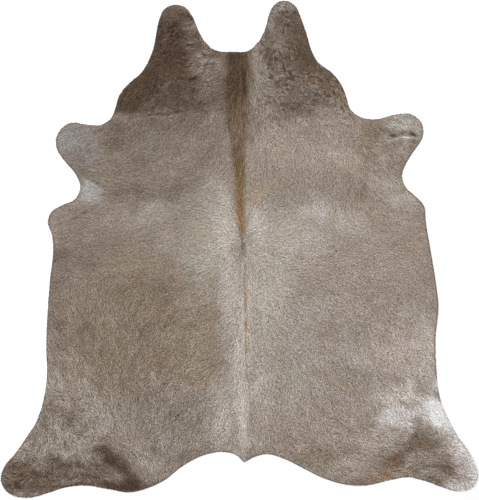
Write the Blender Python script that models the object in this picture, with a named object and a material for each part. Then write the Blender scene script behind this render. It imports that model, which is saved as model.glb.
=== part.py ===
"""A cowhide rug: one tanned hide with the hair on, lying on the floor with its coat upward.

The neck points to +Y, the tail to -Y, and +X is the right-hand side of the photograph.
The underside touches z = 0, apart from the shanks and rim places that lift a little.
"""

import math
from collections import namedtuple

import bmesh
import bpy
import numpy as np
from mathutils import Vector, noise
from mathutils.geometry import delaunay_2d_cdt

# Lengths are in millimetres and turned to metres when the mesh is made.
METRES = 0.001

# Thickness of the hide
LEATHER = 2.5
LYING_COAT = 3.0
RIM_LEATHER = 2.0
RIM_MIDDLE = 1.1
RIM_FACE_WIDTH = 2.5
RIM_TAPER_WIDTH = 26.0
RIM_TAPER_THICKNESS = 4.9
COAT_UNEVENNESS = 0.45
COAT_UNEVENNESS_LENGTH = 190.0

# Density of the surface
OUTLINE_STEP = 20.0
GRID_STEP = 44.0
GRID_CLEARANCE = 17.0
LINE_STEP = 24.0
LINE_CLEARANCE = 15.0
FIT_STEPS_PER_SPAN = 60
CORNER_KEEP = 0.35

# Ridge of coat along the spine
SPINE_HEIGHT = 1.6
SPINE_HALF_WIDTH = 38.0
SPINE_SIDE_LINE = 17.0

# Shallow creases across the left of the neck
CREASE_HALF_WIDTH = 7.0
CREASE_END_FADE = 0.25

LEATHER_COLOUR = (0.300, 0.252, 0.212, 1.0)
COAT_ROUGHNESS = 0.72

Mark = namedtuple("Mark", "x y")
Corner = namedtuple("Corner", "x y")
Crease = namedtuple("Crease", "x0 y0 x1 y1 depth")
Lift = namedtuple("Lift", "x y reach height")

# Outline, clockwise from the middle of the nape
NAPE_AND_RIGHT_NECK_FLAP = (
    Mark(-30, 875),
    Mark(40, 880),
    Mark(80, 915),
    Mark(115, 980),
    Mark(132, 1045),
    Mark(160, 1088),
    Mark(205, 1100),
    Mark(248, 1075),
    Mark(273, 1020),
    Mark(295, 960),
)
RIGHT_OF_NECK = (
    Mark(322, 872),
    Mark(345, 830),
    Mark(405, 785),
    Mark(450, 730),
    Mark(473, 675),
    Mark(490, 620),
)
RIGHT_FORELEG = (
    Mark(535, 585),
    Mark(605, 575),
    Mark(685, 595),
    Mark(757, 598),
    Mark(805, 555),
    Mark(809, 495),
    Mark(773, 435),
    Mark(738, 380),
    Mark(719, 320),
)
RIGHT_FLANK = (
    Mark(735, 275),
    Mark(778, 235),
    Mark(815, 195),
    Mark(824, 125),
    Mark(840, 30),
    Mark(868, -140),
    Mark(880, -250),
    Mark(867, -395),
    Mark(871, -535),
    Mark(894, -680),
)
RIGHT_HIND_LEG = (
    Mark(925, -750),
    Mark(965, -825),
    Mark(1010, -890),
    Mark(1040, -950),
    Mark(1054, -1008),
    Mark(1030, -1052),
    Mark(965, -1069),
    Mark(893, -1051),
    Mark(818, -1026),
    Mark(740, -1010),
)
RIGHT_RUMP = (
    Mark(660, -1024),
    Mark(565, -1045),
    Mark(465, -1041),
    Mark(375, -1016),
    Mark(285, -972),
    Mark(200, -930),
    Mark(120, -908),
    Mark(55, -925),
)
TAIL = (
    Corner(20, -945),
)
LEFT_RUMP = (
    Mark(-10, -915),
    Mark(-75, -898),
    Mark(-150, -910),
    Mark(-245, -956),
    Mark(-340, -1028),
    Mark(-405, -1057),
    Mark(-490, -1075),
    Mark(-580, -1062),
)
LEFT_HIND_LEG = (
    Mark(-680, -1046),
    Mark(-770, -1055),
    Mark(-850, -1080),
    Mark(-945, -1099),
    Mark(-1025, -1075),
    Mark(-1055, -1025),
    Mark(-1042, -965),
    Mark(-993, -905),
    Mark(-945, -835),
    Mark(-900, -765),
)
LEFT_FLANK = (
    Mark(-874, -690),
    Mark(-854, -580),
    Mark(-856, -425),
    Mark(-850, -270),
    Mark(-838, -120),
    Mark(-825, -5),
    Mark(-831, 65),
    Mark(-847, 120),
    Mark(-833, 165),
    Mark(-785, 195),
)
LEFT_FORELEG = (
    Mark(-730, 220),
    Mark(-705, 275),
    Mark(-725, 330),
    Mark(-775, 390),
    Mark(-807, 440),
    Mark(-810, 487),
    Mark(-785, 535),
    Mark(-740, 560),
    Mark(-680, 552),
    Mark(-615, 550),
)
LEFT_OF_NECK = (
    Mark(-570, 578),
    Mark(-550, 625),
    Mark(-535, 678),
    Mark(-495, 730),
    Mark(-435, 782),
    Mark(-403, 835),
    Mark(-382, 890),
)
LEFT_NECK_FLAP = (
    Mark(-370, 952),
    Mark(-358, 1010),
    Mark(-335, 1060),
    Mark(-290, 1082),
    Mark(-240, 1070),
    Mark(-208, 1030),
    Mark(-183, 970),
    Mark(-150, 915),
    Mark(-105, 880),
)
OUTLINE = (
    NAPE_AND_RIGHT_NECK_FLAP
    + RIGHT_OF_NECK
    + RIGHT_FORELEG
    + RIGHT_FLANK
    + RIGHT_HIND_LEG
    + RIGHT_RUMP
    + TAIL
    + LEFT_RUMP
    + LEFT_HIND_LEG
    + LEFT_FLANK
    + LEFT_FORELEG
    + LEFT_OF_NECK
    + LEFT_NECK_FLAP
)

# The spine wanders a little on its way from the nape to the tail.
SPINE = (
    Mark(-10, 845),
    Mark(-6, 560),
    Mark(5, 285),
    Mark(15, 20),
    Mark(24, -225),
    Mark(21, -490),
    Mark(17, -670),
    Mark(21, -880),
)

NECK_CREASES = (
    Crease(-325, 993, -235, 987, 0.8),
    Crease(-330, 902, -190, 892, 1.0),
    Crease(-350, 822, -150, 808, 1.2),
    Crease(-315, 762, -120, 750, 1.0),
    Crease(-355, 678, -110, 662, 1.3),
    Crease(-315, 602, -130, 606, 1.0),
)

# Places where the hide does not lie quite flat
LIFTS = (
    Lift(-290, 1040, 130, 4.0),
    Lift(205, 1060, 120, 3.0),
    Lift(-800, 500, 120, 6.0),
    Lift(800, 560, 120, 5.0),
    Lift(-1010, -1040, 170, 7.0),
    Lift(1020, -1020, 150, 6.0),
    Lift(-850, 130, 95, 4.0),
    Lift(-470, -1070, 110, 4.0),
    Lift(840, 170, 100, 3.0),
    Lift(880, -260, 130, 2.5),
    Lift(-870, -420, 120, 2.0),
    Lift(500, -1050, 120, 3.0),
)


def clear_scene():
    for thing in list(bpy.data.objects):
        bpy.data.objects.remove(thing, do_unlink=True)
    for mesh in list(bpy.data.meshes):
        bpy.data.meshes.remove(mesh)


def fade(value):
    """Smooth step of a value from 0 to 1."""
    held = np.clip(value, 0.0, 1.0)
    return held * held * (3.0 - 2.0 * held)


def tangents(marks, points):
    """Slope at each mark; a corner gets one slope on each side."""
    count = len(points)
    arriving = []
    leaving = []
    for index in range(count):
        before = points[index - 1]
        here = points[index]
        after = points[(index + 1) % count]
        gap_in = np.linalg.norm(here - before)
        gap_out = np.linalg.norm(after - here)
        slope_in = (here - before) / gap_in
        slope_out = (after - here) / gap_out
        mixed = (slope_in * gap_out + slope_out * gap_in) / (gap_in + gap_out)
        if isinstance(marks[index], Corner):
            arriving.append(CORNER_KEEP * mixed + (1.0 - CORNER_KEEP) * slope_in)
            leaving.append(CORNER_KEEP * mixed + (1.0 - CORNER_KEEP) * slope_out)
        else:
            arriving.append(mixed)
            leaving.append(mixed)
    return arriving, leaving


def smooth_curve(marks, closed):
    """Hermite curve through the marks, as a dense list of points."""
    points = [np.array((mark.x, mark.y), dtype=float) for mark in marks]
    arriving, leaving = tangents(marks, points)
    spans = len(points) if closed else len(points) - 1
    dense = []
    for index in range(spans):
        start = points[index]
        end = points[(index + 1) % len(points)]
        span = np.linalg.norm(end - start)
        if not closed and index == 0:
            slope_start = (end - start) / span
        else:
            slope_start = leaving[index]
        if not closed and index == spans - 1:
            slope_end = (end - start) / span
        else:
            slope_end = arriving[(index + 1) % len(points)]
        for step in range(FIT_STEPS_PER_SPAN):
            t = step / FIT_STEPS_PER_SPAN
            place = (
                (2 * t ** 3 - 3 * t ** 2 + 1) * start
                + (t ** 3 - 2 * t ** 2 + t) * span * slope_start
                + (-2 * t ** 3 + 3 * t ** 2) * end
                + (t ** 3 - t ** 2) * span * slope_end
            )
            dense.append(place)
    if not closed:
        dense.append(points[-1])
    return np.array(dense)


def even_points(dense, step, closed):
    """The same curve at one even spacing."""
    path = np.vstack([dense, dense[:1]]) if closed else dense
    lengths = np.linalg.norm(np.diff(path, axis=0), axis=1)
    travelled = np.concatenate([[0.0], np.cumsum(lengths)])
    count = max(2, int(round(travelled[-1] / step)))
    wanted = np.linspace(0.0, travelled[-1], count + 1)
    if closed:
        wanted = wanted[:-1]
    return np.column_stack([np.interp(wanted, travelled, path[:, axis]) for axis in (0, 1)])


def hide_outline():
    """Outline in even steps that keeps the corner of the tail as a point of its own."""
    dense = smooth_curve(OUTLINE, True)
    corner_at = [index for index, mark in enumerate(OUTLINE) if isinstance(mark, Corner)]
    start = corner_at[0] * FIT_STEPS_PER_SPAN
    return even_points(np.roll(dense, -start, axis=0), OUTLINE_STEP, True)


def inset_ring(outline, width):
    """The outline moved inward by a width."""
    ahead = np.roll(outline, -1, axis=0) - outline
    behind = outline - np.roll(outline, 1, axis=0)
    ahead = ahead / np.linalg.norm(ahead, axis=1)[:, None]
    behind = behind / np.linalg.norm(behind, axis=1)[:, None]
    along = ahead + behind
    along = along / np.linalg.norm(along, axis=1)[:, None]
    inward = np.column_stack([along[:, 1], -along[:, 0]])
    return outline + width * inward


def distance_to_rim(points, outline):
    """Distance from each point to the nearest stretch of the outline."""
    start = outline
    across = np.roll(outline, -1, axis=0) - outline
    length_squared = (across ** 2).sum(axis=1)
    nearest = np.full(len(points), np.inf)
    for begin, step, squared in zip(start, across, length_squared):
        offset = points - begin
        share = np.clip((offset @ step) / squared, 0.0, 1.0)
        gap = np.hypot(offset[:, 0] - share * step[0], offset[:, 1] - share * step[1])
        nearest = np.minimum(nearest, gap)
    return nearest


def inside(points, outline):
    """Even-odd test of points against the outline."""
    result = np.zeros(len(points), dtype=bool)
    after = np.roll(outline, -1, axis=0)
    for (x0, y0), (x1, y1) in zip(outline, after):
        if y0 == y1:
            continue
        crosses = (points[:, 1] > y0) != (points[:, 1] > y1)
        at = x0 + (points[:, 1] - y0) * (x1 - x0) / (y1 - y0)
        result ^= crosses & (points[:, 0] < at)
    return result


def grid_points(outline):
    """Triangular grid inside the hide, clear of its rim."""
    low = outline.min(axis=0)
    high = outline.max(axis=0)
    row_step = GRID_STEP * math.sqrt(3.0) / 2.0
    rows = int((high[1] - low[1]) / row_step) + 1
    columns = int((high[0] - low[0]) / GRID_STEP) + 2
    places = []
    for row in range(rows):
        shift = 0.5 * GRID_STEP * (row % 2)
        for column in range(columns):
            places.append((low[0] + shift + column * GRID_STEP, low[1] + row * row_step))
    places = np.array(places)
    places = places[inside(places, outline)]
    return places[distance_to_rim(places, outline) > RIM_TAPER_WIDTH + GRID_CLEARANCE]


def crease_lines():
    """Three rows of points for each crease: its floor and both of its shoulders."""
    rows = []
    for crease in NECK_CREASES:
        start = np.array((crease.x0, crease.y0), dtype=float)
        end = np.array((crease.x1, crease.y1), dtype=float)
        length = np.linalg.norm(end - start)
        along = (end - start) / length
        across = np.array((-along[1], along[0]))
        count = max(3, int(round(length / LINE_STEP)))
        for side in (-1.0, 0.0, 1.0):
            for index in range(count + 1):
                place = start + along * length * index / count
                rows.append(place + side * CREASE_HALF_WIDTH * across)
    return np.array(rows)


def spine_lines():
    """Crest of the spine and a line of points on each side of it."""
    crest = even_points(smooth_curve(SPINE, False), LINE_STEP * 1.5, False)
    rows = [crest]
    for side in (-1.0, 1.0):
        rows.append(crest + np.array((side * SPINE_SIDE_LINE, 0.0)))
    return np.vstack(rows)


def away_from(points, others, clearance):
    """The points that keep a clearance from the others."""
    gaps = np.linalg.norm(points[:, None, :] - others[None, :, :], axis=2)
    return points[gaps.min(axis=1) > clearance]


def spine_rise(points):
    crest = even_points(smooth_curve(SPINE, False), LINE_STEP, False)
    order = np.argsort(crest[:, 1])
    middle = np.interp(points[:, 1], crest[order, 1], crest[order, 0])
    beside = fade(1.0 - np.abs(points[:, 0] - middle) / SPINE_HALF_WIDTH)
    return SPINE_HEIGHT * beside


def crease_drop(points):
    drop = np.zeros(len(points))
    for crease in NECK_CREASES:
        start = np.array((crease.x0, crease.y0), dtype=float)
        step = np.array((crease.x1, crease.y1), dtype=float) - start
        length = np.linalg.norm(step)
        offset = points - start
        share = (offset @ step) / length ** 2
        across = np.abs(offset[:, 0] * step[1] - offset[:, 1] * step[0]) / length
        ends = fade(share / CREASE_END_FADE) * fade((1.0 - share) / CREASE_END_FADE)
        drop = np.maximum(drop, crease.depth * ends * fade(1.0 - across / CREASE_HALF_WIDTH))
    return drop


def coat_unevenness(points):
    scale = 1.0 / COAT_UNEVENNESS_LENGTH
    values = [noise.noise(Vector((x * scale, y * scale, 0.5))) for x, y in points]
    return COAT_UNEVENNESS * np.array(values)


def underside(points):
    """Height of the leather above the floor."""
    height = np.zeros(len(points))
    for lift in LIFTS:
        gap = np.hypot(points[:, 0] - lift.x, points[:, 1] - lift.y)
        height += lift.height * fade(1.0 - gap / lift.reach)
    return height


def coat_side(points, outline):
    """Height of the coat above the floor."""
    rim_gap = distance_to_rim(points, outline)
    inner = (rim_gap - RIM_TAPER_WIDTH) / RIM_TAPER_WIDTH
    taper = fade((rim_gap - RIM_FACE_WIDTH) / (RIM_TAPER_WIDTH - RIM_FACE_WIDTH))
    thick = RIM_LEATHER + (RIM_TAPER_THICKNESS - RIM_LEATHER) * taper
    thick += (LEATHER + LYING_COAT - RIM_TAPER_THICKNESS) * fade(inner)
    thick += fade(inner) * (spine_rise(points) - crease_drop(points) + coat_unevenness(points))
    return underside(points) + thick


def triangulate(rings, loose):
    """Triangles over the rings, the first of which is the border, and the loose points."""
    places = []
    edges = []
    for ring in rings:
        first = len(places)
        places.extend(ring)
        count = len(ring)
        edges.extend((first + index, first + (index + 1) % count) for index in range(count))
    border = list(range(len(rings[0])))
    places.extend(loose)
    flat = [Vector((place[0], place[1])) for place in places]
    made = delaunay_2d_cdt(flat, edges, [border], 1, 0.001)
    coordinates = np.array([(place.x, place.y) for place in made[0]])
    return coordinates, made[2], made[3]


def border_numbers(origins, count):
    """Number of the made vertex that stands for each point of the border."""
    numbers = {}
    for made, sources in enumerate(origins):
        for source in sources:
            if source < count:
                numbers[source] = made
    return [numbers[index] for index in range(count)]


def add_side(mesh, coordinates, heights, faces, rim, rim_vertices, upward):
    """Add one side of the hide to the mesh, joined to the vertices of its rim."""
    shared = dict(zip(rim, rim_vertices))
    vertices = []
    for number, (place, height) in enumerate(zip(coordinates, heights)):
        if number in shared:
            vertices.append(shared[number])
        else:
            spot = Vector((place[0], place[1], height)) * METRES
            vertices.append(mesh.verts.new(spot))
    for face in faces:
        corners = [coordinates[number] for number in face]
        first = corners[1] - corners[0]
        second = corners[2] - corners[0]
        faces_up = first[0] * second[1] - first[1] * second[0] > 0.0
        order = list(face) if faces_up == upward else list(reversed(face))
        mesh.faces.new([vertices[number] for number in order])


def hide_mesh():
    outline = hide_outline()
    centre = (outline.min(axis=0) + outline.max(axis=0)) / 2.0
    face_ring = inset_ring(outline, RIM_FACE_WIDTH)
    taper_ring = inset_ring(outline, RIM_TAPER_WIDTH)
    lines = np.vstack([crease_lines(), spine_lines()])
    lines = lines[inside(lines, outline)]
    lines = lines[distance_to_rim(lines, outline) > RIM_TAPER_WIDTH + LINE_CLEARANCE]
    grid = grid_points(outline)
    top_loose = np.vstack([lines, away_from(grid, lines, LINE_CLEARANCE)])

    top, top_faces, top_origins = triangulate([outline, face_ring, taper_ring], top_loose)
    low, low_faces, low_origins = triangulate([outline, face_ring], grid)
    top_rim = border_numbers(top_origins, len(outline))
    low_rim = border_numbers(low_origins, len(outline))

    mesh = bmesh.new()
    rim_heights = underside(outline) + RIM_MIDDLE
    rim_vertices = []
    for place, height in zip(outline, rim_heights):
        spot = Vector((place[0] - centre[0], place[1] - centre[1], height)) * METRES
        rim_vertices.append(mesh.verts.new(spot))
    top_heights = coat_side(top, outline)
    low_heights = underside(low)
    add_side(mesh, top - centre, top_heights, top_faces, top_rim, rim_vertices, True)
    add_side(mesh, low - centre, low_heights, low_faces, low_rim, rim_vertices, False)

    made = bpy.data.meshes.new("hide")
    mesh.to_mesh(made)
    mesh.free()
    return made


def hair_on_hide():
    material = bpy.data.materials.new("hair_on_hide")
    material.use_nodes = True
    shader = material.node_tree.nodes["Principled BSDF"]
    shader.inputs["Base Color"].default_value = LEATHER_COLOUR
    shader.inputs["Roughness"].default_value = COAT_ROUGHNESS
    shader.inputs["Metallic"].default_value = 0.0
    material.diffuse_color = LEATHER_COLOUR
    return material


def build_hide():
    mesh = hide_mesh()
    mesh.materials.append(hair_on_hide())
    hide = bpy.data.objects.new("hide", mesh)
    bpy.context.scene.collection.objects.link(hide)
    return hide


clear_scene()
build_hide()
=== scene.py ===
"""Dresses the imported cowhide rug: its skin, its coat of hair locks and the studio round it.

The file is laid out as an add-on for the 3D view and is run as a script.
Places are in millimetres on the hide: +X to the right, +Y to the neck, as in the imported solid.
"""

import math
from collections import namedtuple

import bpy
import numpy as np
from bpy.props import FloatProperty, FloatVectorProperty, IntProperty, PointerProperty
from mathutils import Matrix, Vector
from mathutils.bvhtree import BVHTree
from mathutils.geometry import delaunay_2d_cdt
from mathutils.kdtree import KDTree


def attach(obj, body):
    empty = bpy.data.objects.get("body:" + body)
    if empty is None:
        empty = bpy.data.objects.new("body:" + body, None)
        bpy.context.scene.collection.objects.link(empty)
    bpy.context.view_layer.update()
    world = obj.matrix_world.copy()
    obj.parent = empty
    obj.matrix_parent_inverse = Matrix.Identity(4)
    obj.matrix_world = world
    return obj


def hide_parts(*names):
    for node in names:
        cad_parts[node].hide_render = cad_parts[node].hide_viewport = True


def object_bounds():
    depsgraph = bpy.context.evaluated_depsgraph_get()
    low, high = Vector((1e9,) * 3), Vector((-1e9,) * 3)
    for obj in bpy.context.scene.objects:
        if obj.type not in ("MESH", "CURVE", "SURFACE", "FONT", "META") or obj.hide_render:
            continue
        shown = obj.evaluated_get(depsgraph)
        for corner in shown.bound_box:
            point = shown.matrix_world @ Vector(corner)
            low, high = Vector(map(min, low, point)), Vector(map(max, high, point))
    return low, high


bl_info = {
    "name": "Cowhide rug",
    "version": (1, 0, 0),
    "blender": (4, 5, 0),
    "location": "3D View > Sidebar > Cowhide",
    "description": "Builds the skin, the coat and the studio of a cowhide rug",
    "category": "Object",
}

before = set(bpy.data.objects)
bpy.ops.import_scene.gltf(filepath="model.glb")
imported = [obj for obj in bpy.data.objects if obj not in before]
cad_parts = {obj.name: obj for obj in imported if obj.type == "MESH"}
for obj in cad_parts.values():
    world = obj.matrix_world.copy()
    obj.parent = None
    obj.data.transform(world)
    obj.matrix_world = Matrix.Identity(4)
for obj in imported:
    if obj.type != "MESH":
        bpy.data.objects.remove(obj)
CAD_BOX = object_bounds()
CAD_LOW, CAD_HIGH = CAD_BOX
CAD_WIDTH = CAD_HIGH.x - CAD_LOW.x
CAD_LENGTH = CAD_HIGH.y - CAD_LOW.y

MM = 0.001
HIDE_NODE = "hide"
BODY = "root"
BAKE_UV = "OFBake"

# The photograph's frame, and the size of one of its pixels on the hide
PHOTO_HEIGHT_PX = 500
PHOTO_CENTRE_ROW = 250.0
HIDE_TOP_ROW = 0.5
HIDE_BOTTOM_ROW = 497.5
PIXEL = CAD_LENGTH / (HIDE_BOTTOM_ROW - HIDE_TOP_ROW)

# Steps in millimetres of the coarse grid, for heights and the lie of the hair, and of the fine
# one, for streaks and colours; both run past the hide by the margin.
FIELD_STEP = 6.0
STREAK_STEP = 2.5
FIELD_MARGIN = 36.0
# Parts that each stretch of the rim is cut into where it is searched
RIM_PARTS = 6
# The solid's heights are felt from this far above and below it, and not nearer to the rim
# than this; in between they are carried on from their neighbours.
PROBE_LIFT = 50.0
PROBE_RIM = 2.0
# Places are read off a grid from just inside its last row and column.
LAST_CELL = 1.001
# No length is divided by that is smaller than this.
TINY = 1e-9

Zone = namedtuple("Zone", "name x y along across turn tone strength soft")
Band = namedtuple("Band", "y x half_width tone strength")
Comb = namedtuple("Comb", "x y heading reach")
Texture = namedtuple(
    "Texture", "name x y reach speckle tuft strand sweep pocket wisp crumple curl length")
Line = namedtuple("Line", "name x0 y0 x1 y1 width depth shade")
Fringe = namedtuple("Fringe", "name x y reach length pitch")
Blot = namedtuple("Blot", "size strength draw")
Streak = namedtuple("Streak", "width length draw")
Peak = namedtuple("Peak", "start reach mean")

# Tones of cattle hair in this coat, from the darkest to the palest, and then the tinted ones
HAIR = {
    "bistre": "4e3f35",
    "sepia": "56473b",
    "umber": "5f5146",
    "walnut": "685a4e",
    "hazel": "716459",
    "mouse": "7b6f64",
    "taupe": "857a6f",
    "mushroom": "8f8378",
    "putty": "978c81",
    "fawn": "9e9389",
    "oat": "a59b91",
    "string": "aaa197",
    "bone": "b3a9a0",
    "ivory": "bbb1a8",
    "chalk": "cec7c2",
    "white": "efedeb",
    "olive": "574a3b",
    "bark": "58483a",
    "cocoa": "6c5a49",
    "moss": "726048",
    "bay": "79695a",
    "russet": "715d4e",
    "drab": "817364",
    "dun": "7f7267",
    "khaki": "8f8271",
    "straw": "8a7b67",
    "cinnamon": "8a7260",
    "ginger": "7e694e",
    "amber": "8e7358",
    "gold": "93764f",
    "tan": "9d8c79",
    "dark_buff": "8f8175",
    "buff": "998b80",
    "pale_buff": "a4968b",
    "dark_sage": "9d9489",
    "sage": "a8a093",
    "dove": "857e78",
    "ash": "918c87",
    "pearl": "a29d98",
    "rose": "ac9e95",
    "lilac": "b4aaa5",
}

# Random blots in the coat: size in millimetres, strength, and the draw that makes each. The
# borders' strength is in millimetres and the stray turns' in radians.
CURLS = Blot(26.0, 1.0, 0)
WOBBLES = Blot(34.0, 1.0, 1)
BORDERS_X = Blot(60.0, 8.0, 5)
BORDERS_Y = Blot(60.0, 8.0, 6)
FINE_DRIFT = Blot(30.0, 0.6, 11)
BROAD_DRIFT = Blot(80.0, 0.8, 12)
STRAY_TURNS = Blot(60.0, 0.7, 13)
SWELLS = Blot(55.0, 1.0, 15)
LINE_BREAKS = Blot(16.0, 0.5, 10)
WRINKLE_NET = Blot(19.0, 0.92, 9)
WRINKLE_DETAIL = Blot(9.0, 0.35, 30)
WRINKLE_BREAKS = Blot(34.0, 0.55, 31)
# A blot is this many times as wide as the blur that makes it.
BLOT_BLURS = 2.5

# Random streaks along the hair: width and length in millimetres, and the draw of each
TUFTS = Streak(2.6, 24.0, 2)
SWEEPS = Streak(11.0, 60.0, 3)
CLOUDS = Streak(30.0, 60.0, 4)
STRANDS = Streak(4.5, 70.0, 7)
POCKETS = Streak(7.0, 12.0, 8)
STRAYS = Streak(2.6, 110.0, 14)
# Clouds are this share as strong as sweeps, and strays this many times as strong as wisps.
CLOUD_SHARE = 0.5
STRAY_SHARE = 1.4

# Peaks of a streak's field show as single marks: they set in at start, are full after reach,
# and would change the coat's mean brightness if their own mean weren't taken off.
POCKET_PEAKS = Peak(0.5, 1.5, 0.1)
WISP_PEAKS = Peak(1.0, 1.2, 0.08)
STRAY_PEAKS = Peak(1.3, 0.9, 0.05)

# Wrinkled hide, painted into the coat's colour: its furrows and brows on a net of unit spread, how
# much painted shade lies in the furrows and how much painted light on the brows
FURROW_WIDTH = 0.30
FURROW_PAINTED_SHADE = 1.7
BROW_PLACE = 0.85
BROW_WIDTH = 0.35
BROW_PAINTED_LIGHT = 0.9
# Wrinkles hold where their breaks' field, which varies about this level, nears 1.
WRINKLE_HOLD = 0.6
WRINKLE_MEAN = 0.06

# Markings of the coat by region; turn is in degrees, strength and soft run from 0 to 1.
# A marking lies over those listed before it.
BROAD_ZONES = (
    Zone("left_shoulder", -350, 440, 420, 265, 5, "mouse", 0.95, 0.8),
    Zone("left_side", -485, -360, 445, 485, 0, "drab", 1.0, 0.65),
    Zone("left_flank", -730, 0, 265, 200, 0, "dun", 0.8, 0.8),
    Zone("left_rump", -330, -735, 485, 200, 0, "taupe", 0.85, 0.8),
    Zone("right_shoulder", 270, 440, 420, 245, 0, "buff", 0.95, 0.8),
    Zone("right_side", 625, -50, 400, 445, 0, "buff", 0.95, 0.8),
    Zone("right_rump", 400, -760, 485, 245, 0, "buff", 0.8, 0.8),
    Zone("right_loin", 315, -360, 290, 265, 0, "fawn", 0.8, 0.8),
)
LEFT_RUMP_ZONES = (
    Zone("left_rump_pale", -615, -735, 180, 90, -40, "putty", 0.8, 0.9),
    Zone("left_rump_brown", -395, -645, 200, 95, -35, "drab", 0.7, 0.9),
    Zone("left_rump_inner", -150, -560, 140, 110, 0, "khaki", 0.8, 0.9),
    Zone("left_rump_band", -420, -880, 230, 60, -36, "mushroom", 0.9, 0.9),
    Zone("left_rump_edge", -265, -925, 150, 45, 25, "mouse", 0.8, 0.9),
    Zone("left_thigh_brown", -850, -700, 140, 65, 72, "mouse", 0.8, 0.9),
    Zone("left_thigh_spot", -745, -760, 80, 55, 60, "hazel", 0.8, 0.9),
    Zone("left_thigh_grey", -830, -850, 230, 90, 8, "mushroom", 0.85, 0.8),
    Zone("left_loin_curl", -675, -570, 60, 110, -8, "putty", 0.5, 0.9),
    Zone("left_rump_dark_spot", -265, -745, 70, 60, 60, "drab", 0.7, 0.9),
    Zone("left_rump_fork", -380, -905, 60, 28, -10, "hazel", 0.7, 0.9),
    Zone("left_thigh_tan", -860, -755, 60, 50, 60, "mouse", 0.6, 0.9),
    Zone("left_thigh_light", -650, -650, 70, 55, -30, "fawn", 0.6, 0.9),
    Zone("left_rump_seat", -325, -920, 50, 35, 0, "mouse", 0.75, 0.9),
    Zone("left_thigh_putty", -855, -657, 36, 42, 0, "putty", 0.6, 0.9),
)
LEFT_HIND_SHANK_ZONES = (
    Zone("left_hind", -865, -1008, 300, 112, 2, "walnut", 1.0, 0.6),
    Zone("left_hind_low", -655, -985, 175, 75, 0, "walnut", 0.9, 0.8),
    Zone("left_hind_rim", -550, -1050, 170, 40, -4, "sepia", 1.0, 0.8),
    Zone("left_hind_halo", -495, -945, 195, 80, -42, "mouse", 0.6, 0.9),
    Zone("left_hind_band", -540, -955, 175, 48, -42, "sepia", 1.0, 0.7),
    Zone("left_hind_band_low", -480, -1045, 85, 40, -15, "bistre", 1.0, 0.8),
    Zone("left_hind_notch", -622, -905, 80, 44, -10, "umber", 0.95, 0.9),
    Zone("left_rump_light", -420, -945, 80, 55, -30, "putty", 0.7, 0.9),
    Zone("left_toe_russet", -950, -985, 160, 34, -4, "russet", 0.7, 0.9),
    Zone("left_hind_grey", -935, -915, 50, 28, -35, "hazel", 0.7, 0.9),
    Zone("left_hind_dark", -800, -952, 42, 28, 0, "sepia", 0.8, 0.9),
    Zone("left_hind_pale", -740, -1020, 130, 38, -4, "mouse", 0.8, 0.9),
    Zone("left_hind_brown", -580, -925, 62, 34, -35, "bistre", 0.8, 0.9),
    Zone("left_hind_hem", -710, -1046, 150, 18, 1, "sepia", 1.0, 0.9),
    Zone("left_toe_dark", -1020, -960, 50, 35, 50, "walnut", 0.8, 0.9),
    Zone("left_hind_curl", -600, -842, 42, 30, 0, "russet", 0.5, 0.9),
    Zone("left_hind_light", -715, -975, 60, 24, 0, "taupe", 0.7, 0.9),
    Zone("left_hind_inner", -620, -990, 80, 26, 0, "hazel", 0.8, 0.9),
    Zone("left_toe_low", -990, -1050, 80, 40, 0, "walnut", 0.8, 0.9),
    Zone("left_hind_hem_end", -400, -1050, 60, 26, 20, "hazel", 0.9, 0.9),
    Zone("left_hind_upper", -860, -950, 95, 34, -8, "mouse", 0.7, 0.9),
    Zone("left_hind_heel", -925, -920, 50, 45, 0, "hazel", 0.8, 0.9),
    Zone("left_hind_end_brown", -865, -1020, 80, 35, -8, "hazel", 0.75, 0.9),
    Zone("left_shank_bay", -575, -888, 42, 30, -35, "bay", 0.6, 0.9),
    Zone("left_shank_russet", -535, -932, 36, 28, 0, "russet", 0.6, 0.9),
    Zone("left_thigh_drab", -650, -850, 40, 35, 0, "drab", 0.8, 0.9),
    Zone("left_hind_shade", -690, -960, 45, 28, 0, "umber", 0.6, 0.9),
    Zone("left_hind_toe", -1015, -1068, 45, 25, 20, "mouse", 0.6, 0.9),
    Zone("left_rump_taupe", -424, -954, 42, 32, -30, "taupe", 0.6, 0.9),
    Zone("left_hind_hazel", -850, -1010, 150, 55, 0, "hazel", 0.35, 0.9),
)
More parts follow.
